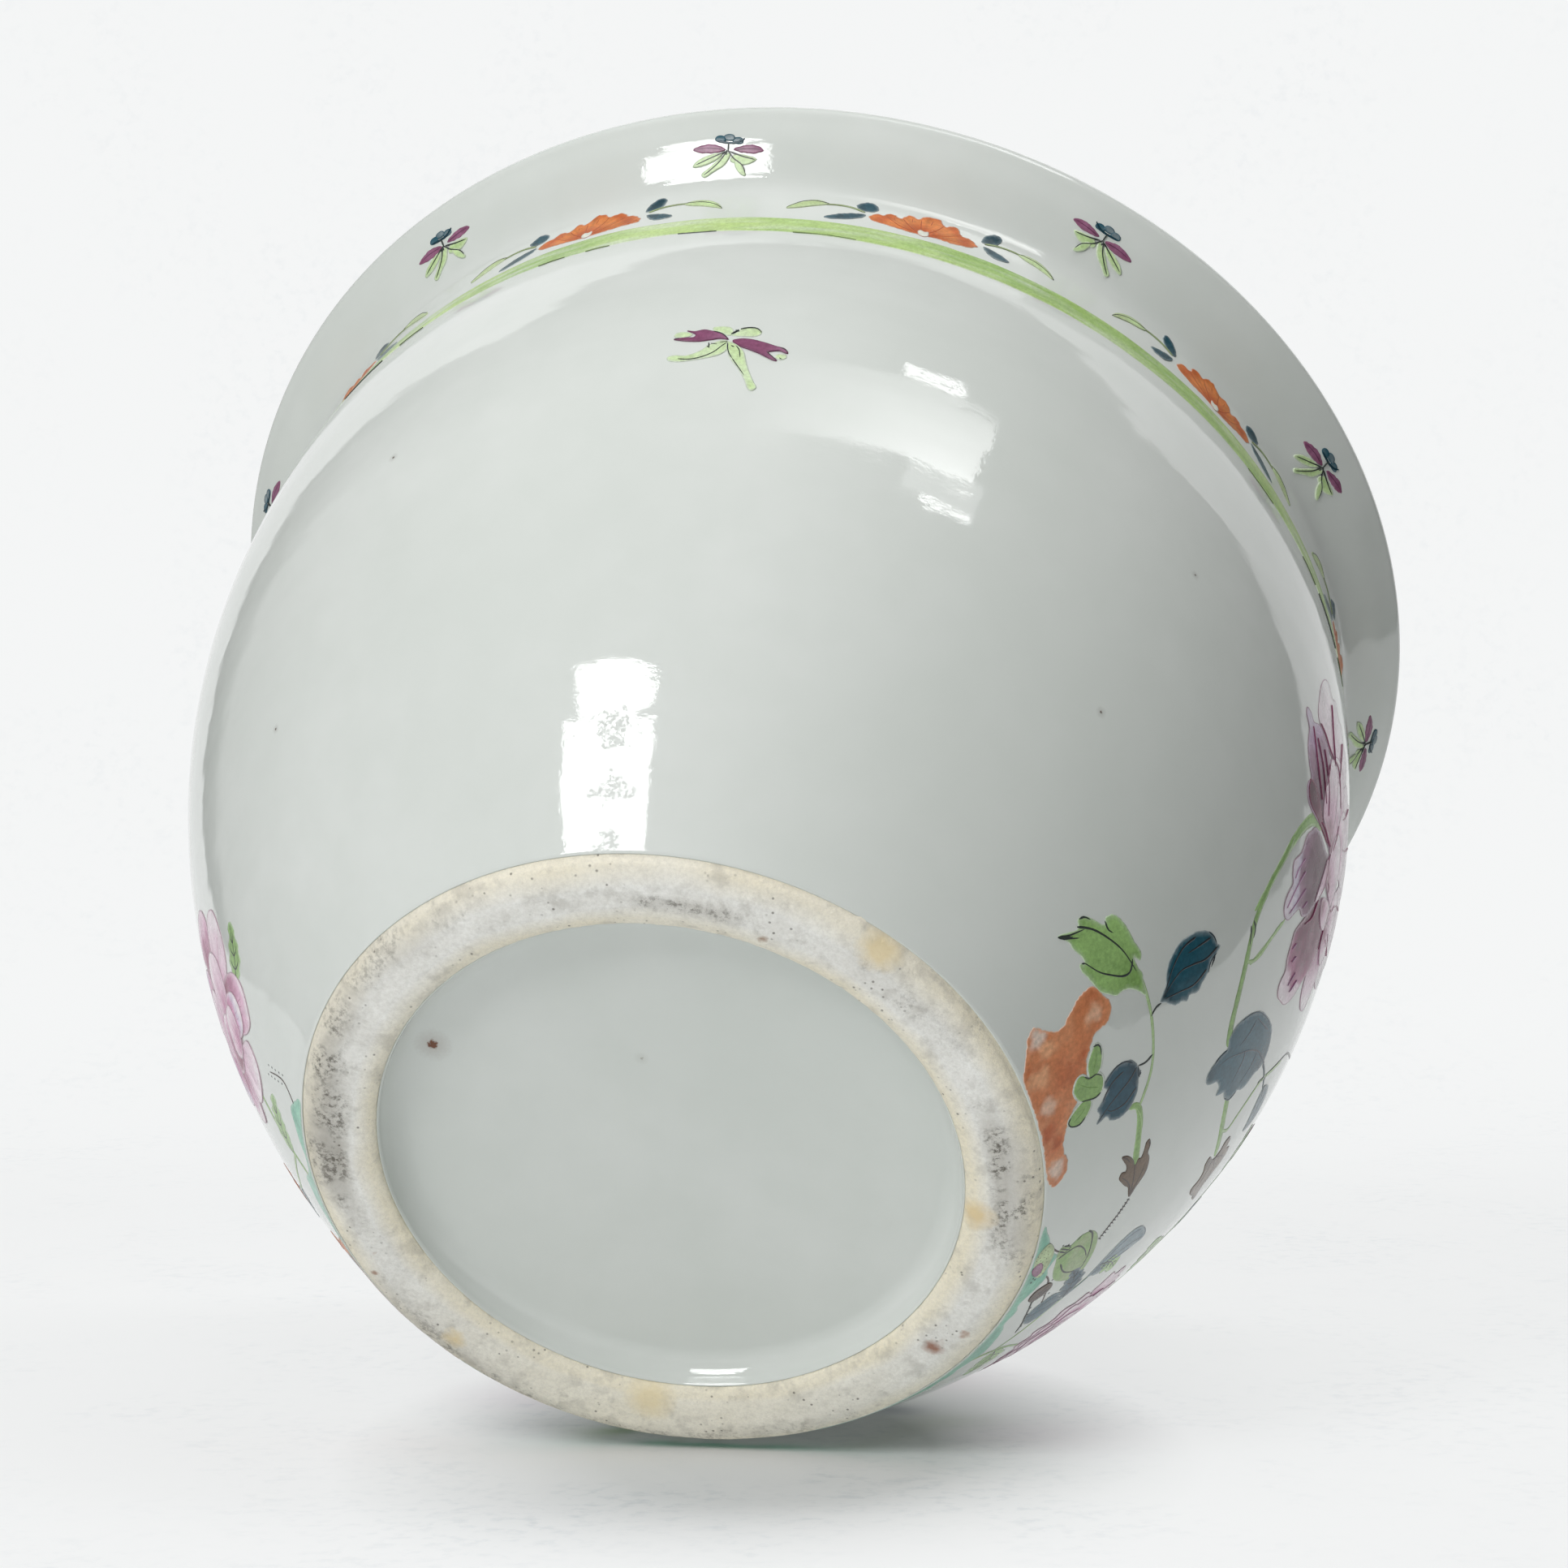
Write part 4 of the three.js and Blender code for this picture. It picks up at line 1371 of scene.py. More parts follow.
def shoulder_sprig(enamel):
    sheet = Sheet(254, 107.5, (493.5, 375), 1 / 30, down=True)
    sprig = Brush(sheet)
    pale = dict(grain=0.08, bleed=0.55, edge_width=0.5, step=0.4)
    for outline in (trace("440,105 470,92 520,90 552,105 565,140 560,175 535,178 490,150 455,140"),
            trace("560,178 590,140 600,112 640,95 690,92 722,115 722,150 690,176 630,182"),
            trace("228,185 240,158 275,148 320,158 335,180 300,202 250,202"),
            trace("835,330 860,315 895,318 898,345 868,365 840,355"),
            trace("220,385 260,368 330,372 400,330 440,280 500,232 552,235 560,290 530,350 470,385 "
                "380,412 290,428 232,415"),
            trace("545,240 600,262 650,320 672,385 700,470 745,570 772,620 755,650 725,640 690,560 "
                "640,470 590,400 552,310")):
        sprig.wash(outline, [(0, SPRIG_GREEN), (1, mix(SPRIG_GREEN, GLAZE, 0.3))],
            edge=mix(SPRIG_GREEN, GLAZE, 0.35), **pale)
    sprig.wash(trace("232,218 300,204 342,204 354,182 334,160 298,138 345,146 395,130 450,144 500,163 "
            "532,195 548,217 500,213 450,226 380,242 300,237"),
        [(0, AUBERGINE_LIGHT), (0.6, AUBERGINE), (1, AUBERGINE)], (540, 212), (240, 215),
        edge=mix(AUBERGINE, INK, 0.3), edge_width=0.3, streak=0.12, step=0.4, grain=0.1)
    sprig.wash(trace("573,226 620,206 680,207 750,224 830,250 876,261 902,296 890,303 850,288 808,300 "
            "790,312 820,345 852,378 815,372 740,330 680,302 620,276 588,250"),
        [(0, AUBERGINE), (0.5, AUBERGINE), (1, AUBERGINE_LIGHT)], (575, 226), (880, 320),
        edge=mix(AUBERGINE, INK, 0.3), edge_width=0.3, streak=0.12, step=0.4, grain=0.1)
    for points, wide in ((trace("285,403 340,411 400,396 450,368 490,330 520,282 545,248"), 0.22),
            (trace("549,250 556,300 572,350 596,392"), 0.26),
            (trace("596,392 622,435 655,485 686,532"), 0.2), (trace("600,276 625,315 640,382"), 0.22),
            (trace("555,165 575,145 592,122"), 0.28), ([(575, 128), (598, 136)], 0.24),
            (trace("440,255 446,280 448,306"), 0.34), ([(436, 290), (452, 300)], 0.3),
            ([(455, 262), (490, 268)], 0.16), ([(572, 278), (592, 288)], 0.3),
            ([(505, 248), (545, 240)], 0.16), (trace("452,146 500,165 530,194 542,216"), 0.24),
            (trace("602,114 645,96 690,96 718,122 722,134"), 0.18),
            (trace("780,310 820,350 846,374"), 0.2), (trace("850,262 880,272 898,296"), 0.24),
            ([(236, 218), (265, 212)], 0.2), ([(860, 352), (875, 362)], 0.14)):
        sprig.line(points, wide, DARK, wide * 0.6, bulge=0.005)
    sprig.done("sprig_shoulder", enamel["thick"])


def rim_sprig(name, turn, tilt, rng, enamel):
    """Two aubergine petals, a teal trefoil above and thin leaves below."""
    sheet = Sheet(turn, 187.2, lean=tilt, size=rng.uniform(0.96, 1.04), flip=rng.random() < 0.5,
        squash=0.83)
    sprig = Brush(sheet)
    petal = [(0, AUBERGINE), (0.55, AUBERGINE_LIGHT), (1, AUBERGINE)]
    look = dict(edge=mix(AUBERGINE, BLUSH, 0.1), edge_width=0.4, streak=0.25, grain=0.16, ragged=0.15,
        step=0.45)
    sprig.wash(trace("-7.4,2.2 -5.6,3.3 -3.2,3.1 -0.9,1.9 -3,1.2 -5.4,1.2"), petal, (-1, 2.0),
        (-7, 2.2), **look)
    sprig.wash(trace("0.6,1.7 3,2.9 5.6,2.6 7.6,1.4 5.6,0.6 2.8,0.7"), petal, (0.6, 1.7), (7, 1.6),
        **look)
    for points in (trace("-1.4,1.9 -4.2,2.3 -6.6,2.4"), trace("1.2,1.7 4.0,1.9 6.6,1.6")):
        sprig.line(points, 0.25, mix(AUBERGINE, INK, 0.4), 0.12)
    for spot, half in (((-1.7, 4.2), 1.1), ((0.2, 4.9), 1.2), ((2.0, 4.4), 1.1)):
        x, y = spot
        sprig.wash([(x - half, y - 0.5), (x - half * 0.8, y + 0.6), (x, y + 0.95),
                (x + half * 0.8, y + 0.6), (x + half, y - 0.4), (x, y - 0.9)],
            [(0, mix(TEAL_BLUE, GLAZE, 0.3)), (1, TEAL)], edge=TEAL, edge_width=0.35, step=0.45)
    sprig.line(trace("-3.0,4.9 -2.0,3.9 -0.6,3.5 1.2,3.6 2.8,3.9"), 0.42, TEAL_DEEP, 0.35)
    for leaf in (trace("-6.2,-0.2 -4,0.5 -1.5,0.6 -0.6,-1.2 -2.5,-1.9 -4.4,-1.8"),
            trace("-0.6,0.8 0.6,0.4 2.2,-1.4 3.8,-3.4 5.2,-5.0 4.4,-5.8 2.6,-4.2 0.4,-2.2"),
            trace("1.2,0.6 3.6,0.2 6.2,-1.4 7.2,-3.2 4.6,-2.6 2.2,-1.0"),
            trace("-1.6,-1.0 -2.0,-3.0 -3.4,-4.6 -4.4,-4.6 -3.6,-2.6 -2.6,-1.0")):
        sprig.wash(leaf, [(0, SPRIG_GREEN), (1, mix(SPRIG_GREEN, LEAF_GREEN, 0.4))],
            edge=mix(SPRIG_GREEN, GLAZE, 0.25), bleed=0.4, step=0.5)
    for points in (trace("0.1,1.6 -1.2,-0.4 -3.4,-2.2 -4.2,-4.2"),
            trace("0.3,1.5 1.4,-1.2 3.0,-3.4 4.6,-5.2"), trace("0.5,1.2 3.0,-0.4 6.6,-2.6"),
            trace("-0.4,1.2 -3.0,0.2 -5.8,-0.4"), [(0.2, 3.6), (0.1, 1.2)]):
        sprig.line(points, 0.3, DARK, 0.16, bulge=0.005)
    sprig.dot(0.3, 0.4, 0.5, DARK)
    sprig.done(name, enamel["thick"])


def garland_unit(name, turn, rng, enamel):
    """One coral spray over the band, with dark leaves and a tendril to either side."""
    flip = rng.random() < 0.5
    sheet = Sheet(turn, 174.3, size=rng.uniform(0.97, 1.05), flip=flip, squash=1.41)
    spray = Brush(sheet)
    mass = trace("-11.8,-1.2 -10.4,0.1 -8.8,0.2 -7.8,0.9 -6.2,1.2 -5.0,0.5 -4.2,1.6 -2.8,2.1 -1.3,1.5 "
        "-0.3,2.3 1.4,3.0 3.2,2.8 4.2,1.6 5.6,2.0 7.2,1.6 8.2,0.4 9.8,0.2 11.4,-1.1 11.2,-2.3 "
        "9.0,-2.8 6.5,-3.1 3.0,-3.4 0.0,-3.6 -4.0,-3.3 -8.0,-2.8 -10.6,-2.4")
    mass = [(x + rng.uniform(-0.3, 0.3), y + rng.uniform(-0.2, 0.2)) for x, y in mass]
    spray.wash(mass,
        [(0, GARLAND_DEEP), (0.22, GARLAND), (0.6, GARLAND_LIGHT), (0.85, GARLAND),
            (1.1, GARLAND_LIGHT)],
        (0, -3.4), (10.5, -0.4), edge=mix(GARLAND, GARLAND_LIGHT, 0.4), edge_width=0.8, streak=0.3,
        grain=0.16, bleed=0.45, bulge=0.02, ragged=0.3, step=0.5)
    for points, wide in ((trace("-0.8,-3.0 -3.0,-1.4 -4.7,0.5"), 0.45),
            (trace("-0.4,-2.8 -0.7,-0.4 -0.9,1.4"), 0.4), (trace("0.4,-2.8 2.6,-0.6 4.0,1.7"), 0.45),
            (trace("0.9,-3.0 5.0,-1.4 8.0,0.4"), 0.4), (trace("-1.2,-3.0 -5.0,-2.1 -8.0,0.1"), 0.4),
            (trace("1.4,-3.2 6.0,-2.4 9.8,-1.6"), 0.3), ([(-2.6, 0.0), (-2.8, 1.1)], 0.25),
            ([(1.2, 0.4), (1.5, 1.9)], 0.25), ([(-6.2, -0.6), (-6.6, 0.5)], 0.25)):
        spray.line(points, wide, mix(GARLAND_DEEP, GARLAND, 0.35), 0.15,
            edge=mix(GARLAND, GARLAND_DEEP, 0.3), bulge=0.003)
    spray.wash(trace("-1.1,-2.4 -0.5,-1.8 0.3,-2.1 1.1,-1.8 1.3,-3.2 0.3,-3.9 -0.8,-3.5"),
        [(0, mix(GLAZE, CREAM, 0.3)), (1, GLAZE)], edge=mix(GARLAND_DEEP, GLAZE, 0.4), edge_width=0.25,
        step=0.4)
    spray.done(name + "_spray", enamel["red"])

    leaves = Brush(sheet)
    for outline in (trace("-14.8,1.8 -12.6,3.0 -10.6,2.6 -10.0,1.4 -11.4,0.4 -13.6,0.6"),
            trace("-20.6,-3.4 -18.2,-1.9 -15.0,-0.9 -12.4,-0.7 -13.0,-2.0 -16.0,-3.3 -19.2,-3.9"),
            trace("12.2,0.6 12.6,2.4 14.6,3.6 16.2,3.2 15.8,1.6 14.0,0.5"),
            trace("12.8,-0.8 15.6,-1.0 18.8,-2.4 17.2,-3.2 14.6,-2.9")):
        leaves.wash(outline, [(0, TEAL_DEEP), (1, mix(TEAL, TEAL_DEEP, 0.3))],
            edge=mix(TEAL, GLAZE, 0.2), edge_width=0.5, grain=0.25, ragged=0.2, bleed=0.3, step=0.5)
    tendril = mix(TENDRIL_GREEN, DARK, 0.35)
    leaves.line(trace("13.0,0.2 15.6,1.0 19.0,1.3 22.6,1.0 25.6,0.2 28.2,-0.6"), 0.5, tendril, 0.3)
    leaves.line(trace("-12.6,0.0 -15.6,0.9 -18.6,1.1 -22.0,0.8 -24.6,0.4"), 0.5, tendril, 0.3)
    leaves.wash(trace("20.4,1.2 22.8,1.8 25.6,1.4 27.8,0.2 28.8,-1.3 27.2,-0.9 24.6,-0.1 22.0,0.4"),
        [(0, TENDRIL_GREEN), (1, SPRIG_GREEN)], edge=mix(TENDRIL_GREEN, GLAZE, 0.2), grain=0.1,
        step=0.5)
    leaves.line(trace("20.4,1.3 24.0,1.2 27.0,0.2 28.9,-1.4"), 0.28, DARK, 0.2)
    leaves.wash(trace("-20.6,1.0 -22.6,1.8 -25.4,1.3 -28.0,-0.2 -28.8,-1.4 -26.4,-1.0 -23.4,0.0"),
        [(0, TENDRIL_GREEN), (1, SPRIG_GREEN)], edge=mix(TENDRIL_GREEN, GLAZE, 0.2), grain=0.1,
        step=0.5)
    leaves.line(trace("-20.4,1.1 -23.6,1.5 -26.4,0.8 -28.8,-1.3"), 0.28, DARK, 0.2)
    leaves.done(name + "_leaves", enamel["thick"])


def neck_band(enamel):
    """The green band of uneven tone round the neck, with a broken dark line in the crease along its lower
    edge that stands both for pooled enamel and for painted shade in the crease.
    """
    rows = [(-0.4, -0.05, 0), (0.0, 0.03, 0), (0.25, 0.12, 1)]
    rows += [(BAND_WIDTH * k / 8, 0.16, 1) for k in range(1, 8)]
    rows += [(BAND_WIDTH - 0.3, 0.12, 1), (BAND_WIDTH, 0.03, 0), (BAND_WIDTH + 0.3, -0.05, 0)]
    vertices, tones, faces = [], [], []
    count = 720
    for i in range(count):
        turn = 2 * math.pi * i / count
        ring = Vector((math.cos(turn), math.sin(turn), 0))
        low = 0.45 * noise.noise(ring * 5) + 0.2 * noise.noise(ring * 17)
        high = 0.4 * noise.noise(ring * 4 + Vector((0, 0, 4)))
        high += 0.2 * noise.noise(ring * 15 + Vector((0, 0, 8)))
        for run, lift, full in rows:
            share = run / BAND_WIDTH
            at = NECK_RUN + run + low * (1 - share) + high * share
            vertices.append(skin(turn, at, lift))
            cloud = noise.noise(ring * 3.2 + Vector((0, 0, run * 0.1)))
            fleck = noise.noise(ring * 26 + Vector((0, 0, run * 0.8)))
            tone = mix(BAND_GREEN, BAND_DEEP, min(max(0.4 + cloud * 2.2 + fleck * 0.7, -0.3), 1.4))
            wet = 0.05 + 0.6 * max(0, noise.noise(ring * 7 + Vector((0, 3, run * 0.5))))
            wet += 0.3 * max(0, noise.noise(ring * 19 + Vector((0, 9, run * 0.9))))
            tone = mix(tone, GLAZE, min(wet, 0.5))
            tones.append(tone if full else mix(tone, GLAZE, 0.45))
    width = len(rows)
    for i in range(count):
        j = (i + 1) % count
        for c in range(width - 1):
            faces.append((i * width + c, j * width + c, j * width + c + 1, i * width + c + 1))
    piece = make_object("band_enamel", vertices, faces, enamel["thick"], "painted_enamel", tones)
    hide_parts("neck_band")

    # The broken dark line is partly painted shade: it darkens the crease under the band where shade
    # falls, as well as standing for pooled enamel.
    rng = random.Random(41)
    line = Brush(Sheet(0, NECK_RUN), 0.17)
    reach = outline_at(NECK_RUN)[0]
    turn = 0.0
    while turn < 358:
        span = rng.uniform(2, 7)
        if rng.random() < 0.55:
            mid = (turn + span / 2) * DEG * reach
            half = span / 2 * DEG * reach
            drop = -0.15 + rng.uniform(-0.25, 0.2)
            line.line([(mid - half, drop), (mid, drop + rng.uniform(-0.25, 0.25)), (mid + half, drop)],
                rng.uniform(0.15, 0.4), mix(DARK, BAND_GREEN, rng.uniform(0.0, 0.5)), 0.15, bulge=0.005)
            line.level = 0.17
        turn += span + rng.uniform(0.5, 3)
    line.done("band_line", enamel["thick"])


# Peonies, leaves and stems

def paint_petal(brush, outline, base, tip, tones, dark=0.18, line=PETAL_LINE, wide=0.2):
    deep, mid, pale, rim = tones
    brush.wash(outline,
        [(0.0, deep), (dark, mix(deep, mid, 0.25)), (dark + 0.25, mid), (0.78, pale), (1.0, rim)], base,
        tip, edge=mix(rim, pale, 0.3), edge_width=0.5, streak=0.24, grain=0.06, ragged=0.08,
        bulge=0.006)
    brush.line(outline, wide, mix(line, rim, 0.38), closed=True, bulge=0.003)


def open_peony(name, turn, run, enamel, size=1.0, lean=0.0, flip=False, tint=None, share=0.0):
    """The large peony at the right edge of the photograph; a tint turns it towards another tone."""
    bloom = Brush(Sheet(turn, run, (451.5, 320), 0.1, down=True, size=size, lean=lean, flip=flip), 0.06)
    line = mix(PETAL_LINE, BROWN, 0.4)
    pale = (PINK, mix(PINK, PETAL_WHITE, 0.75), PETAL_WHITE, mix(PETAL_WHITE, GLAZE, 0.5))
    soft = (MAGENTA, ROSE, BLUSH, PETAL_WHITE)

    paint_petal(bloom,
        trace("185,205 168,165 165,118 178,76 205,52 232,62 258,38 292,52 318,40 352,58 385,52 408,85 "
            "402,130 372,168 330,186 285,194 240,208"),
        (330, 240), (220, 55), pale, 0.1)
    paint_petal(bloom,
        trace("395,190 402,130 425,92 462,96 492,66 535,82 570,74 602,102 640,122 648,165 628,205 "
            "580,232 520,244 460,236"),
        (430, 270), (560, 80), pale, 0.1)
    paint_petal(bloom,
        trace("560,260 590,214 640,180 690,192 712,230 742,262 732,306 748,345 715,382 668,396 "
            "625,372 585,330"),
        (520, 320), (735, 290), pale, 0.1)
    paint_petal(bloom,
        trace("556,402 592,384 640,372 690,388 716,420 728,452 706,482 664,496 622,484 598,448"),
        (545, 372), (715, 455), soft, 0.25)
    paint_petal(bloom,
        trace("130,243 150,236 168,240 196,214 236,207 285,212 330,224 372,252 404,296 415,322 "
            "380,336 345,350 302,372 265,385 238,379 226,360 232,342 204,330 176,306 160,272 136,260"),
        (385, 345), (140, 240),
        (WINE, mix(CRIMSON, VIOLET, 0.35), mix(PINK, VIOLET, 0.6), mix(VIOLET, PETAL_WHITE, 0.5)), 0.45,
        line)
    bloom.wash(trace("232,342 262,330 305,332 350,336 400,318 412,324 362,346 310,366 268,380 242,374 "
            "230,358"),
        [(0, WINE), (0.6, MAGENTA), (1, ROSE)], (240, 355), (410, 320), edge=MAGENTA, edge_width=0.8,
        streak=0.15, bulge=0.0)
    paint_petal(bloom,
        trace("466,412 500,404 560,399 600,412 613,450 618,510 622,556 612,596 590,616 562,634 "
            "536,628 520,600 494,590 470,566 456,545 461,500"),
        (478, 424), (572, 630),
        (mix(WINE, CRIMSON, 0.3), mix(CRIMSON, PINK, 0.5), mix(PINK, PETAL_WHITE, 0.75), PETAL_WHITE),
        0.46, line, 0.15)
    paint_petal(bloom,
        trace("315,402 324,380 358,362 400,350 436,330 452,360 462,400 467,450 463,485 446,511 "
            "421,520 413,550 408,576 390,588 367,583 354,560 349,532 329,525 311,508 318,470 307,430"),
        (432, 382), (310, 522),
        (WINE, mix(CRIMSON, VIOLET, 0.3), mix(VIOLET, PETAL_WHITE, 0.35),
            mix(VIOLET, PETAL_WHITE, 0.75)),
        0.46, line, 0.15)

    heart = [(trace("300,180 318,150 352,134 392,142 420,168 432,205 420,245 392,262 350,240 318,216"),
            (400, 260), (340, 140)),
        (trace("420,210 430,172 462,150 505,158 535,182 548,222 535,262 498,280 455,268 428,246"),
            (450, 290), (500, 155)),
        (trace("285,212 292,192 318,184 348,190 372,214 386,250 404,290 410,316 370,326 330,330 "
                "302,292 290,252"),
            (400, 325), (300, 190)),
        (trace("346,192 374,180 400,198 422,236 440,270 442,306 418,322 396,274 370,226"), (430, 320),
            (370, 182)),
        (trace("424,262 448,236 490,238 522,262 544,298 548,334 512,350 470,362 444,342 428,304"),
            (470, 370), (480, 238)),
        (trace("545,290 572,262 610,268 636,296 640,330 612,352 575,352 550,330"), (555, 350),
            (620, 280)),
        (trace("575,362 602,334 640,330 666,350 662,382 628,396 592,392"), (590, 372), (660, 350)),
        (trace("428,340 452,352 470,380 470,412 462,440 446,400 434,366"), (452, 345), (462, 438)),
        (trace("488,398 502,372 530,350 556,340 574,368 562,396 524,410"), (500, 405), (562, 345))]
    for outline, base, tip in heart:
        paint_petal(bloom, outline, base, tip,
            (CRIMSON, mix(PINK, BLUSH, 0.5), mix(BLUSH, PETAL_WHITE, 0.5), PETAL_WHITE), 0.16)
    folds = [(trace("416,314 392,324 360,332 336,344"), 0.9),
        (trace("428,330 452,350 468,384 470,414"), 0.9),
        (trace("548,336 562,362 578,388 602,410"), 1.2), (trace("284,222 292,246 298,272"), 0.9),
        ([(392, 196), (402, 204)], 0.8), (trace("478,352 492,346 500,356"), 0.8),
        (trace("612,362 626,352 642,346"), 1.1), (trace("560,330 572,318 572,296"), 0.6),
        (trace("196,206 228,198 262,196 298,184"), 0.5),
        (trace("300,182 332,166 372,182 396,200"), 0.5), (trace("472,420 486,460 474,500"), 1.1),
        (trace("420,238 430,262 436,300"), 0.6), (trace("470,104 458,150 440,188"), 0.45),
        (trace("560,110 536,158 500,206"), 0.45), (trace("640,220 602,256 575,300"), 0.45),
        (trace("690,310 650,330 612,340"), 0.45), (trace("230,90 262,140 312,186"), 0.4),
        (trace("330,80 340,130 352,170"), 0.4), (trace("200,250 262,268 322,300"), 0.35),
        (trace("170,252 232,290 300,318"), 0.35), (trace("240,232 300,256 352,300"), 0.35)]
    for points, wide in folds:
        bloom.line(points, wide * 0.7, mix(CRIMSON, ROSE, 0.3), 0.15, bulge=0.003)
    for points in (trace("340,460 338,500 345,520"), trace("365,470 368,530 378,575"),
            trace("400,480 398,530 396,570"), [(432, 480), (430, 505)], [(490, 545), (488, 568)],
            [(520, 550), (518, 572)], [(560, 552), (566, 590)], [(588, 540), (590, 580)]):
        bloom.line(points, 0.3, mix(MAUVE, ROSE, 0.4), 0.15, bulge=0.003)
    if tint:
        bloom.tones = [mix(tone, tint, share) for tone in bloom.tones]
    bloom.done(name, enamel["thin"])


def photographed_stems(enamel):
    stem = Brush(Sheet(340, 106, (451.5, 320), 0.1, down=True), 0.03)
    stem.line(trace("346,352 322,366 300,384 284,425 276,470 275,520 279,570 290,640 297,690"), 2.9,
        LEAF_GREEN, 1.4, edge=mix(STEM_GREEN, GLAZE, 0.25))
    stem.line(trace("398,585 402,612 398,660 400,740"), 0.5, STEM_GREEN, 0.7)
    stem.line(trace("905,392 862,440 820,490 802,545 790,600 778,665"), 0.6, DARK, 0.6)
    stem.done("stem_peony", enamel["thick"])


def fan(rng, angle, inner, outer, half, lobes):
    """A petal's outline, with its base and tip: it opens from inner to outer round a centre."""
    points = []
    phase = rng.uniform(0, 6.28)
    steps = 9
    for k in range(steps + 1):
        side = 2 * k / steps - 1
        wave = 1 + 0.07 * math.sin(lobes * math.pi * side + phase) + rng.uniform(-0.02, 0.02)
        rho = outer * (1 - 0.16 * side * side) * wave
        turn = angle + half * side
        points.append((rho * math.cos(turn), rho * math.sin(turn)))
    for share, wide in ((0.62, 0.98), (0.28, 0.72), (0.0, 0.42)):
        rho = inner + (outer - inner) * share
        turn = angle + half * wide
        points.append((rho * math.cos(turn), rho * math.sin(turn)))
    for share, wide in ((0.0, -0.42), (0.28, -0.72), (0.62, -0.98)):
        rho = inner + (outer - inner) * share
        turn = angle + half * wide
        points.append((rho * math.cos(turn), rho * math.sin(turn)))
    base = (inner * math.cos(angle), inner * math.sin(angle))
    tip = (outer * math.cos(angle), outer * math.sin(angle))
    return points, base, tip


def peony(name, turn, run, radius, seed, tones, enamel, lean=0, squash=0.92, line=PETAL_LINE,
        core=(0.1, -0.12)):
    """A full bloom: rings of ruffled petals round a cupped heart that sits off the centre."""
    rng = random.Random(seed)
    bloom = Brush(Sheet(turn, run, lean=lean, squash=squash), 0.06)
    deep, mid, pale, rim = tones
    rings = ((7, 0.12, 1.0, 0.52, 2.6, 0.26), (6, 0.08, 0.74, 0.60, 2.4, 0.30),
        (4, 0.04, 0.50, 0.80, 2.0, 0.26))
    for ring, (count, inner, outer, half, lobes, dark) in enumerate(rings):
        offset = rng.uniform(0, 6.28)
        order = list(range(count))
        rng.shuffle(order)
        for k in order:
            angle = offset + 2 * math.pi * k / count + rng.uniform(-0.12, 0.12)
            reach = outer * rng.uniform(0.86, 1.08) * radius
            outline, base, tip = fan(rng, angle, inner * radius, reach, half * rng.uniform(0.9, 1.1),
                lobes)
            slide = (core[0] * radius * ring * 0.5, core[1] * radius * ring * 0.5)
            shift = lambda p: (p[0] + slide[0], p[1] + slide[1])
            outline = [shift(p) for p in outline]
            paint_petal(bloom, outline, shift(base), shift(tip), tones, dark, line,
                0.18 if radius < 22 else 0.22)
            for side in (-0.4, 0.05, 0.45):
                spread = angle + (side + rng.uniform(-0.1, 0.1)) * half
                start = shift((inner * radius * math.cos(spread), inner * radius * math.sin(spread)))
                far = reach * rng.uniform(0.5, 0.8)
                end = shift((far * math.cos(spread), far * math.sin(spread)))
                bloom.line([start, mix(start, end, 0.5), end], 0.22, mix(deep, mid, 0.6), 0.1,
                    bulge=0.003)
    centre = (core[0] * radius, core[1] * radius)
    shift = lambda p: (p[0] + centre[0], p[1] + centre[1])
    for k in range(4):
        angle = 2 * math.pi * k / 4 + rng.uniform(-0.2, 0.2)
        outline, base, tip = fan(rng, angle, 0.02 * radius, 0.26 * radius, 0.85, 2)
        paint_petal(bloom, [shift(p) for p in outline], shift(base), shift(tip),
            (deep, mix(deep, mid, 0.6), pale, rim), 0.35, line, 0.18)
    for _ in range(9):
        angle, far = rng.uniform(0, 6.28), rng.uniform(0.0, 0.09) * radius
        bloom.dot(centre[0] + far * math.cos(angle), centre[1] + far * math.sin(angle), 0.38, CREAM)
    bloom.done(name, enamel["thin"])


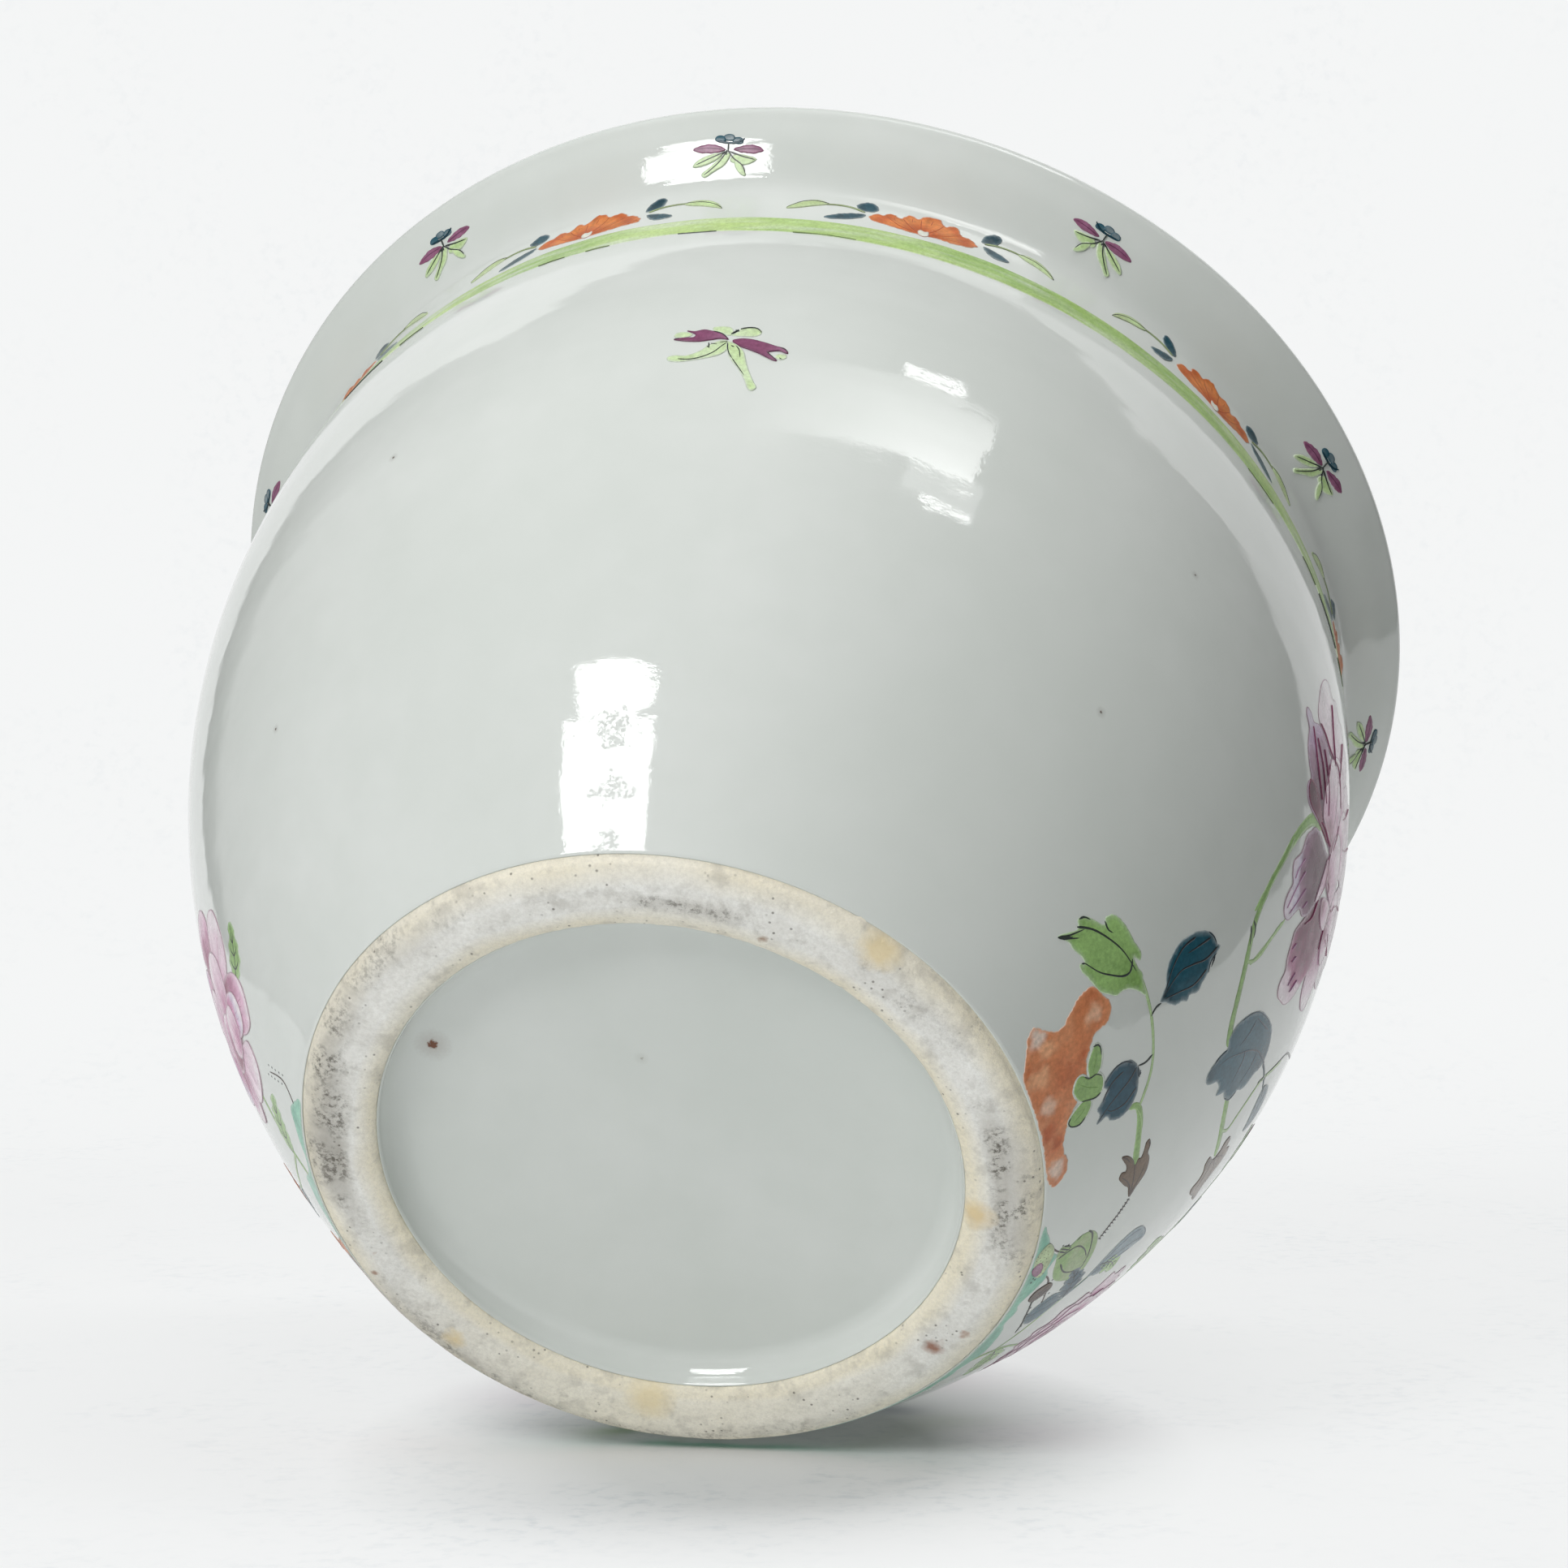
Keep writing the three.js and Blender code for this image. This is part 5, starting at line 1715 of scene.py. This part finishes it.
def peony_left(enamel):
    """The peony at the photograph's left edge: a cup of tall petals that curl over each other."""
    bloom = Brush(Sheet(163, 45), 0.06)
    rose = (CRIMSON, mix(CRIMSON, PINK, 0.55), mix(PINK, BLUSH, 0.5), PETAL_WHITE)
    lilac = (mix(CRIMSON, PINK, 0.3), PINK, mix(VIOLET, BLUSH, 0.4), PETAL_WHITE)
    pale = (mix(PINK, CRIMSON, 0.25), mix(PINK, BLUSH, 0.6), BLUSH, PETAL_WHITE)
    petals = [(trace("-3,2 -9,6 -16,9 -20,4 -19,-4 -14,-9 -7,-6"), (-2, -1), (-20, 0), lilac, 0.3),
        (trace("-4,3 -10,10 -13,17 -8,21 -2,20 2,14 1,6"), (-1, 2), (-8, 21), lilac, 0.34),
        (trace("1,4 3,12 2,19 7,22 13,19 15,12 10,6 5,3"), (3, 3), (9, 22), rose, 0.4),
        (trace("4,1 10,6 16,11 21,8 21,1 17,-4 9,-4"), (3, -1), (21, 3), pale, 0.2),
        (trace("5,-3 12,-3 18,-8 19,-14 14,-19 8,-16 4,-9"), (3, -4), (17, -17), rose, 0.36),
        (trace("-2,-5 2,-12 7,-17 4,-22 -3,-22 -9,-18 -9,-10"), (0, -4), (-2, -22), pale, 0.2),
        (trace("-6,-5 -12,-8 -17,-12 -15,-17 -9,-17 -5,-11"), (-3, -3), (-15, -15), rose, 0.3),
        (trace("-8,-2 -9,6 -5,12 0,11 2,5 0,-2 -4,-4"), (-2, -4), (-3, 12), pale, 0.24),
        (trace("0,-4 1,4 5,10 10,9 13,3 11,-3 6,-6"), (4, -6), (8, 10), pale, 0.24),
        (trace("2,-6 8,-4 13,-8 13,-13 9,-15 4,-12"), (3, -6), (11, -14), lilac, 0.3),
        (trace("-8,-7 -6,-1 -1,1 3,-2 4,-8 0,-12 -5,-11"), (-2, -12), (-2, 1), rose, 0.34),
        (trace("-3,-8 0,-4 4,-3 8,-6 7,-11 3,-13 -1,-12"), (3, -13), (4, -3), pale, 0.3)]
    for outline, base, tip, tones, dark in petals:
        paint_petal(bloom, outline, base, tip, tones, dark, mix(PETAL_LINE, BROWN, 0.3), 0.2)
        middle = mix(base, tip, 0.5)
        for side in (-1.4, 0.2, 1.6):
            end = mix(base, tip, 0.8)
            bloom.line([base, (middle[0] + side * 0.6, middle[1] + side * 0.3),
                    (end[0] + side, end[1] + side * 0.5)],
                0.2, mix(tones[0], tones[1], 0.5), 0.1, bulge=0.003)
    for x, y in ((-1, -9), (0.4, -8.2), (1.6, -9.2), (0.6, -10), (2.4, -8.2)):
        bloom.dot(x, y, 0.4, CREAM)
    bloom.done("peony_left", enamel["thin"])


def bud(name, turn, run, heading, size, tones, enamel):
    """A closed flower on its green cup."""
    sheet = Sheet(turn, run, lean=heading, size=size)
    brush = Brush(sheet)
    deep, mid, pale, rim = tones
    brush.wash(trace("-2.6,0 -4.2,3 -3.8,6.6 -1.4,9.4 0.4,8.2 0,3"), [(0, deep), (0.5, mid), (1, rim)],
        (0, 0), (-1.4, 9.4), edge=rim, streak=0.15)
    brush.wash(trace("2.6,0 4.3,3 3.8,6.6 1.6,9.6 -0.4,8.2 0,3"), [(0, deep), (0.5, mid), (1, rim)],
        (0, 0), (1.6, 9.6), edge=rim, streak=0.15)
    brush.wash(trace("-1.8,0 -2.2,4 -0.2,8.4 1.9,4.2 1.8,0"), [(0, deep), (0.6, pale), (1, rim)],
        (0, 0), (0, 8.4), edge=mix(rim, PETAL_LINE, 0.3), streak=0.15)
    brush.line(trace("-2.4,0.2 -4.2,3 -3.8,6.6 -1.4,9.4 0,8.3 1.6,9.6 3.8,6.6 4.3,3 2.4,0.2"), 0.25,
        PETAL_LINE, 0.22)
    brush.wash(trace("0,-2.6 -2.8,-1.4 -4.6,2.2 -2.2,1.2 -0.8,3.6 0.9,1.2 2.4,3.4 4.6,1.8 2.8,-1.4"),
        [(0, LEAF_SHADE), (1, LEAF_GREEN)], edge=mix(LEAF_GREEN, DARK, 0.4), edge_width=0.35)
    brush.done(name, enamel["thin"])


def leaf_shape(length, breadth, bend, teeth, rng):
    """Outline and veins of a leaf that grows along x from its stalk at 0,0."""
    def spine(t):
        return length * t, bend * length * math.sin(math.pi * t) * 0.5

    def side_point(t, side, extra=0.0):
        x, y = spine(t)
        wide = breadth / 2 * math.sin(math.pi * min(t, 1) ** 0.78) ** 0.8 + extra
        return x, y + side * wide

    upper, lower = [], []
    count = 4 + teeth * 2
    for k in range(1, count):
        t = k / count
        jag = (0.11 if k % 2 else -0.06) * breadth * (0.4 + t)
        upper.append(side_point(t, 1, jag + rng.uniform(-0.2, 0.2)))
        lower.append(side_point(t, -1, jag * rng.uniform(0.5, 1.1)))
    outline = [(0, 0)] + lower + [spine(1.0)] + upper[::-1]
    veins = [[spine(t) for t in (0.0, 0.3, 0.6, 0.93)]]
    for t in (0.22, 0.44, 0.64):
        for side in (1, -1):
            x, y = side_point(min(t + 0.2, 0.95), side)
            foot = spine(t)
            veins.append([foot, (foot[0] + (x - foot[0]) * 0.4, foot[1] + (y - foot[1]) * 0.5),
                (foot[0] + (x - foot[0]) * 0.85, foot[1] + (y - foot[1]) * 0.74)])
    return outline, veins


def leaf(name, turn, run, heading, length, tones, seed, enamel, breadth=0.52, bend=0.2, teeth=2):
    rng = random.Random(seed)
    brush = Brush(Sheet(turn, run, lean=heading), 0.05 + 0.01 * (seed % 3))
    outline, veins = leaf_shape(length, breadth * length, bend, teeth, rng)
    painted_leaf(brush, outline, veins, tones, (0, 0), (length, 0), 0.42)
    brush.done(name, enamel["thick"])


def stem(name, turn, run, points, width, end, tone, enamel, joints=()):
    brush = Brush(Sheet(turn, run), 0.03)
    brush.line(points, width, tone, end, edge=mix(tone, DARK, 0.3))
    for x, y in joints:
        brush.line([(x - 0.9, y - 0.3), (x, y + 0.25), (x + 0.9, y - 0.1)], 0.5, DARK, 0.3)
    brush.done(name, enamel["thick"])


def decorate(enamel):
    neck_band(enamel)
    rng = random.Random(7)
    garlands = [200.6, 235.1, 269.5, 304.2, 338.6]
    garlands += [338.6 + k * 31.7 + rng.uniform(-0.8, 0.8) for k in range(1, 7)]
    for k, turn in enumerate(garlands):
        garland_unit("garland_%d" % (k + 1), turn, rng, enamel)
    sprigs = [179.9, 217.9, 249.1, 286.3, 319.0, 351.9]
    sprigs += [351.9 + k * 31.3 + rng.uniform(-2, 2) for k in range(1, 6)]
    for k, turn in enumerate(sprigs):
        rim_sprig("rim_sprig_%d" % (k + 1), turn, rng.uniform(-8, 8), rng, enamel)
    shoulder_sprig(enamel)
    garden_foot(enamel)
    climbing_stems(enamel)
    photographed_stems(enamel)
    open_peony("peony_photographed", 340, 106, enamel)
    peony_left(enamel)
    garden_back(enamel)


# The side that the photograph does not show, painted in the same manner

class Chart(Sheet):
    """A sheet whose drawings are given in degrees round the pot and millimetres of run."""

    def __init__(self, turn, run):
        super().__init__(turn, run, centre=(turn, run))
        self.across = self.reach * DEG


def strip(name, first, last, high, seed, stops, edge, enamel):
    """Painted ground along the foot line, with an uneven upper edge."""
    chart = Chart((first + last) / 2, 4)
    brush = Brush(chart, 0.03)
    top = []
    turn = first
    while turn <= last:
        rise = min(1, (turn - first) / 6, (last - turn) / 6)
        wave = noise.noise(Vector((turn * 0.11, seed,
            0))) + 0.5 * noise.noise(Vector((turn * 0.35, seed, 4)))
        top.append((turn, 0.9 + max(rise, 0.05) * high * (0.62 + 0.75 * wave)))
        turn += 2.2
    low = [(turn, 0.5) for turn, _ in top[::-2]]
    brush.wash(top + low, stops, edge=edge, edge_width=0.6, grain=0.14, ragged=0.2, bleed=0.2)
    brush.done(name, enamel["thick"])


def back_rock(enamel):
    chart = Chart(128, 17)
    rock = Brush(chart, 0.06)
    rock.wash(trace("114,1.0 113,6 115.5,11 115,17 118,22 121.5,21.5 123,27 125,33 128.5,35.5 "
            "131.5,31 131,25.5 134,22 137,18.5 139.5,15 139,9.5 142,5 141,1.2 134,0.8 126,0.7 119,0.8"),
        [(0.0, CORAL_LIGHT), (0.3, CORAL), (0.65, CORAL_DEEP), (1.0, CORAL)], (125, 36), (128, 0),
        edge=mix(CORAL, CORAL_DEEP, 0.3), edge_width=0.8, streak=0.16, grain=0.2, bulge=0.02,
        bleed=0.45, ragged=0.35)
    rock.wash(trace("129,1.4 127.5,7 130,12 134,13.5 137,10 138,5.5 136,1.6"),
        [(0, BLUE_GREY), (1, TEAL_BLUE)], edge=mix(BLUE_GREY, CORAL_LIGHT, 0.4), edge_width=1.4,
        grain=0.2, bleed=0.3)
    rock.wash(trace("120.5,8 122,12 124.5,12.5 125.5,9 123.5,6"),
        [(0, mix(GLAZE, CORAL_LIGHT, 0.15)), (1, GLAZE)], edge=CORAL_DEEP, edge_width=0.5)
    for points, wide in ((trace("117,18 120,15 120,10 118,5"), 0.8),
            (trace("126,31 128,26 127,20 130,15"), 0.8), (trace("135,19 136,15 139,11"), 0.6),
            ([(124, 22), (121, 19)], 0.5), ([(130, 29), (129, 24)], 0.5)):
        rock.line(points, wide, CORAL_DEEP, 0.3, bulge=0.003)
    for x, y in ((118, 9), (118.8, 11), (135, 4), (133.6, 6.4), (125, 3), (127, 4.2), (123, 16.5)):
        rock.dot(x, y, 0.5, mix(DARK, CORAL_DEEP, 0.4))
    rock.done("rock_back", enamel["red"])


def back_stems(enamel):
    chart = Chart(70, 60)
    edge = mix(STEM_GREEN, DARK, 0.35)
    trunk = mix(BROWN, STEM_GREEN, 0.45)
    stems = Brush(chart, 0.035)
    for points, wide, end, tone in ((trace("50,4 48.5,20 47.5,36 51,48 56,60 59,74"), 2.6, 1.7, trunk),
            (trace("48.2,38 42,46 33,53 22,60 14,72 11,86"), 1.5, 0.8, STEM_GREEN),
            (trace("55,58 64,66 74,78 80,92 86,104 90,116"), 1.6, 0.8, STEM_GREEN),
            (trace("57.5,68 48,78 38,88 33,99 24,112 14,126"), 1.4, 0.7, STEM_GREEN),
            (trace("90,4 93,18 98,32 101,46"), 1.5, 1.2, LOBE_GREEN),
            (trace("118,4 122,24 126,48 131,70 133,88"), 1.9, 1.3, LOBE_GREEN),
            (trace("123.5,36 116,56 112,76 114,94"), 1.0, 0.7, STEM_GREEN),
            (trace("129,62 140,74 148,84 158,92 164,100"), 1.1, 0.7, STEM_GREEN),
            (trace("155,4 157,14 161,26"), 1.4, 1.2, LOBE_GREEN),
            (trace("156,10 146,20 141,32"), 0.9, 0.6, STEM_GREEN),
            (trace("26,4 25,14 27,24"), 1.3, 1.0, LOBE_GREEN),
            (trace("25.2,12 16,20 10,30"), 0.8, 0.5, STEM_GREEN),
            (trace("78,4 77,14 80,24"), 0.8, 0.6, STEM_GREEN)):
        stems.line(points, wide, tone, end, edge=edge)
    for x, y in ((48.4, 33), (50.6, 47), (57.4, 66), (75, 80), (37.6, 88.4), (96, 28), (124.6, 42),
            (130, 66), (142, 76)):
        stems.line([(x - 0.9, y - 0.4), (x, y + 0.3), (x + 0.9, y - 0.2)], 0.5, DARK, 0.3)
    stems.done("stems_back", enamel["thick"])

    twigs = Brush(chart, 0.035)
    for points in (trace("-3,3 1,8 3,15"), trace("4,3 7,9 14,13"), trace("70,3 72,9 70,15"),
            trace("106,3 104,10 107,16"), trace("112,3 110,8 112,14"), trace("134,3 137,10 135,18"),
            trace("168,3 170,9 168,16")):
        twigs.line(points, 0.6, BROWN_DEEP, 0.3)
        (x1, y1), (x2, y2) = points[1:]
        for k in range(5):
            t = k / 4
            x, y = x1 + (x2 - x1) * t, y1 + (y2 - y1) * t
            twigs.dot(x + 0.9, y + 0.5, 0.4, DARK)
            twigs.dot(x - 0.9, y + 0.9, 0.4, DARK)
    twigs.done("twigs_back", enamel["thick"])


# Leaves of the unseen side: turn and run of the stalk, heading, length, tones and breadth.
BACK_LEAVES = [
    (47.0, 40, 150, 15, "green", 0.60), (50.5, 47, 20, 17, "teal", 0.55),
    (42.0, 46, 235, 13, "blue", 0.55), (33.0, 53, 95, 15, "grey", 0.62),
    (22.0, 60, 200, 14, "green", 0.58), (14.0, 71, 20, 13, "teal", 0.50),
    (12.0, 80, 160, 12, "lime", 0.55), (64.0, 66, 300, 18, "green", 0.58),
    (70.0, 72, 110, 14, "grey", 0.60), (77.0, 84, 330, 15, "blue", 0.55),
    (82.0, 95, 150, 15, "green", 0.55), (87.0, 107, 10, 13, "teal", 0.50),
    (48.0, 78, 240, 15, "teal", 0.55), (40.0, 86, 330, 12, "green", 0.55),
    (34.0, 97, 165, 14, "mist", 0.60), (27.0, 108, 60, 13, "green", 0.55),
    (20.0, 118, 215, 12, "teal", 0.50), (92.0, 16, 160, 12, "green", 0.55),
    (96.0, 27, 350, 15, "blue", 0.60), (124.5, 41, 165, 13, "green", 0.60),
    (125.4, 45, 20, 15, "grey", 0.60), (127.5, 56, 330, 14, "teal", 0.52),
    (117.0, 54, 200, 14, "green", 0.55), (112.5, 72, 165, 13, "blue", 0.55),
    (113.0, 84, 20, 12, "lime", 0.52), (131.0, 70, 20, 14, "green", 0.55),
    (141.0, 75, 290, 15, "teal", 0.52), (149.0, 85, 120, 14, "green", 0.58),
    (158.0, 92, 330, 13, "blue", 0.55), (156.0, 11, 25, 12, "green", 0.55),
    (145.0, 21, 155, 10, "teal", 0.52), (25.5, 13, 20, 12, "green", 0.60),
    (15.0, 21, 200, 11, "blue", 0.55), (10.5, 28, 60, 10, "green", 0.55),
    (173.5, 34, 40, 12, "lime", 0.55), (80.0, 22, 20, 10, "grey", 0.6),
]


def small_flower(name, turn, run, radius, tones, enamel):
    """A small open flower of five petals."""
    rng = random.Random(round(turn))
    brush = Brush(Sheet(turn, run), 0.06)
    deep, pale = tones
    for k in range(5):
        angle = 2 * math.pi * k / 5 + rng.uniform(-0.15, 0.15)
        outline, base, tip = fan(rng, angle, 0.1 * radius, radius, 0.56, 1.6)
        brush.wash(outline, [(0, deep), (0.6, pale), (1, mix(pale, GLAZE, 0.35))], base, tip,
            edge=mix(pale, deep, 0.4), edge_width=0.35, streak=0.2, bulge=0.008, step=0.5)
        brush.line(outline, 0.16, mix(deep, DARK, 0.3), closed=True, bulge=0.003)
    for k in range(6):
        brush.dot(0.9 * math.cos(k), 0.9 * math.sin(k), 0.35, CREAM)
    brush.done(name, enamel["thin"])


def butterfly(enamel):
    brush = Brush(Sheet(98, 128, lean=25, size=1.1), 0.05)
    for outline, tone in ((trace("0.4,0.6 3,5.5 7.5,8 9.5,5.5 7,1.6 2.6,0"), AUBERGINE_LIGHT),
            (trace("-0.4,0.6 -3,5.5 -7.5,8 -9.5,5.5 -7,1.6 -2.6,0"), AUBERGINE_LIGHT),
            (trace("0.4,-0.4 3.5,-0.6 6.5,-3 5.5,-6 2.6,-5"), CORAL_LIGHT),
            (trace("-0.4,-0.4 -3.5,-0.6 -6.5,-3 -5.5,-6 -2.6,-5"), CORAL_LIGHT)):
        brush.wash(outline, [(0, mix(tone, DARK, 0.3)), (0.5, tone), (1, mix(tone, GLAZE, 0.4))],
            (0, 0), (9, 6), edge=mix(tone, DARK, 0.4), edge_width=0.35, streak=0.25, bulge=0.008,
            step=0.5)
    brush.line(trace("0,3.4 0.1,0 0,-5.6"), 1.2, DARK, 0.5)
    for side in (-1, 1):
        brush.line([(0.2 * side, 3.2), (1.6 * side, 6), (3.4 * side, 7.2)], 0.22, DARK, 0.15)
        brush.dot(6.2 * side, 4.8, 0.7, TEAL)
        brush.dot(4.2 * side, -3, 0.6, CREAM)
    brush.done("butterfly", enamel["thick"])


def garden_back(enamel):
    ground = [(0, TURQUOISE), (1, TURQUOISE_DEEP)]
    edge = mix(TURQUOISE, GLAZE, 0.3)
    strip("ground_right", -7, 115, 7.0, 1.0, ground, edge, enamel)
    strip("ground_back", 140, 172, 6.0, 5.0, ground, edge, enamel)
    back_stems(enamel)
    back_rock(enamel)
    for k, (turn, run, heading, length, tones, breadth) in enumerate(BACK_LEAVES):
        leaf("leaf_back_%d" % (k + 1), turn, run, heading, length, tones, k, enamel, breadth,
            bend=0.25 if k % 2 else -0.2, teeth=1 + k % 3)
    open_peony("peony_high", 60, 101, enamel, size=0.92, lean=-12, flip=True, tint=srgb("#e0b9c4"),
        share=0.28)
    open_peony("peony_crown", 135, 112, enamel, size=0.8, lean=18)
    peony("peony_low", 27, 39, 16.5, 5, (CRIMSON, PINK, BLUSH, PETAL_WHITE), enamel, lean=-15)
    peony("peony_mid", 102, 60, 17.5, 11, (MAGENTA, ROSE, mix(MAUVE, BLUSH, 0.5), PETAL_WHITE), enamel,
        lean=50)
    rose = (CRIMSON, PINK, BLUSH, PETAL_WHITE)
    bud("bud_back_1", 11.2, 87, 8, 0.85, rose, enamel)
    bud("bud_back_2", 90.6, 117, -14, 0.8, rose, enamel)
    bud("bud_back_3", 114.2, 95, 6, 0.8, (CORAL_DEEP, CORAL, CORAL_LIGHT, PETAL_WHITE), enamel)
    bud("bud_back_4", 165, 101, -25, 0.8, rose, enamel)
    bud("bud_back_5", 13, 127, 25, 0.75, (AUBERGINE, AUBERGINE_LIGHT, MAUVE, PETAL_WHITE), enamel)
    yellow = (srgb("#cfa54c"), srgb("#e8d48e"))
    small_flower("flower_back_1", 80.5, 27, 5.2, yellow, enamel)
    small_flower("flower_back_2", 140.5, 35, 5.4, (CORAL_DEEP, CORAL_LIGHT), enamel)
    small_flower("flower_back_3", 71, 17, 4.2, (CORAL_DEEP, CORAL_LIGHT), enamel)
    butterfly(enamel)


KEY_LEVEL = 11.0


def light_set(room):
    make_world(room)
    area_lamp("key_box", room, (-0.518, -0.893, 0.612), (0.39, 0.37), KEY_LEVEL, upright=True,
        roll=9.5 * DEG)
    area_lamp("key_neck", room, (-0.506, -0.773, 0.799), (0.25, 0.08), KEY_LEVEL, upright=True,
        roll=5 * DEG)
    area_lamp("key_cap", room, (-0.484, -0.754, 0.845), (0.345, 0.094), KEY_LEVEL, upright=True,
        roll=5 * DEG, oval=True)
    area_lamp("window", room, (0.25, -0.075, 1.13), (0.80, 0.34), 7.5, fade=True)
    area_lamp("window_edge", room, (0.44, 0.125, 1.105), (0.17, 0.03), 9.0)
    area_lamp("window_low", room, (0.54, -0.28, 1.02), (0.24, 0.13), 2.0)
    area_lamp("window_spot", room, (0.565, -0.345, 0.995), (0.17, 0.022), 12.0)
    area_lamp("ceiling", room, (0.36, 0.08, 1.28), (1.0, 0.8), 1.95, glossy=False)


# Iron specks as turn, run or radius, size and tone.
BODY_SPECKS = [
    (201.6, 56, 0.35, "#6b625a"),
    (221.3, 100, 0.4, "#6b625a"),
    (304.5, 105, 0.35, "#77706a"),
    (301.6, 61.5, 0.4, "#6f675f"),
    (124.0, 83, 0.4, "#6b625a"),
    (58.0, 140, 0.35, "#6f675f"),
]
BASE_SPECKS = [
    (189.6, 48.7, 1.25, "#6e4026"),
    (241.3, 20.8, 0.5, "#a9aaa2"),
]


def main():
    glaze = glaze_material("glaze", GLAZE, GLAZE_SHADE)
    specks = [(skin(turn * DEG, run), size, tone) for turn, run, size, tone in BODY_SPECKS]
    scuffs = [(skin(249.0 * DEG, run), size) for run, size in ((23.4, 3.8), (11.8, 3.4), (1.6, 2.8))]
    exterior(glaze_material("glaze_body", GLAZE, GLAZE_SHADE, specks, scuffs))
    interior(glaze)
    spots = [(Vector((*foot_place(far, turn), RECESS_HEIGHT)) * MM, size, tone)
        for turn, far, size, tone in BASE_SPECKS]
    base_underside(glaze_material("glaze_base", GLAZE, GLAZE_SHADE, spots))
    foot_ring(foot_material())
    dress_cad_nodes()
    decorate({
        "thick": enamel_material("enamel_thick", 0.2, 0.10),
        "thin": enamel_material("enamel_thin", 0.26, 0.05),
        "red": enamel_material("enamel_red", 0.34, 0.08),
    })
    make_camera()
    room = PhotoSet()
    make_stage(room)
    light_set(room)


main()
bpy.context.scene.view_settings.view_transform = "Standard"
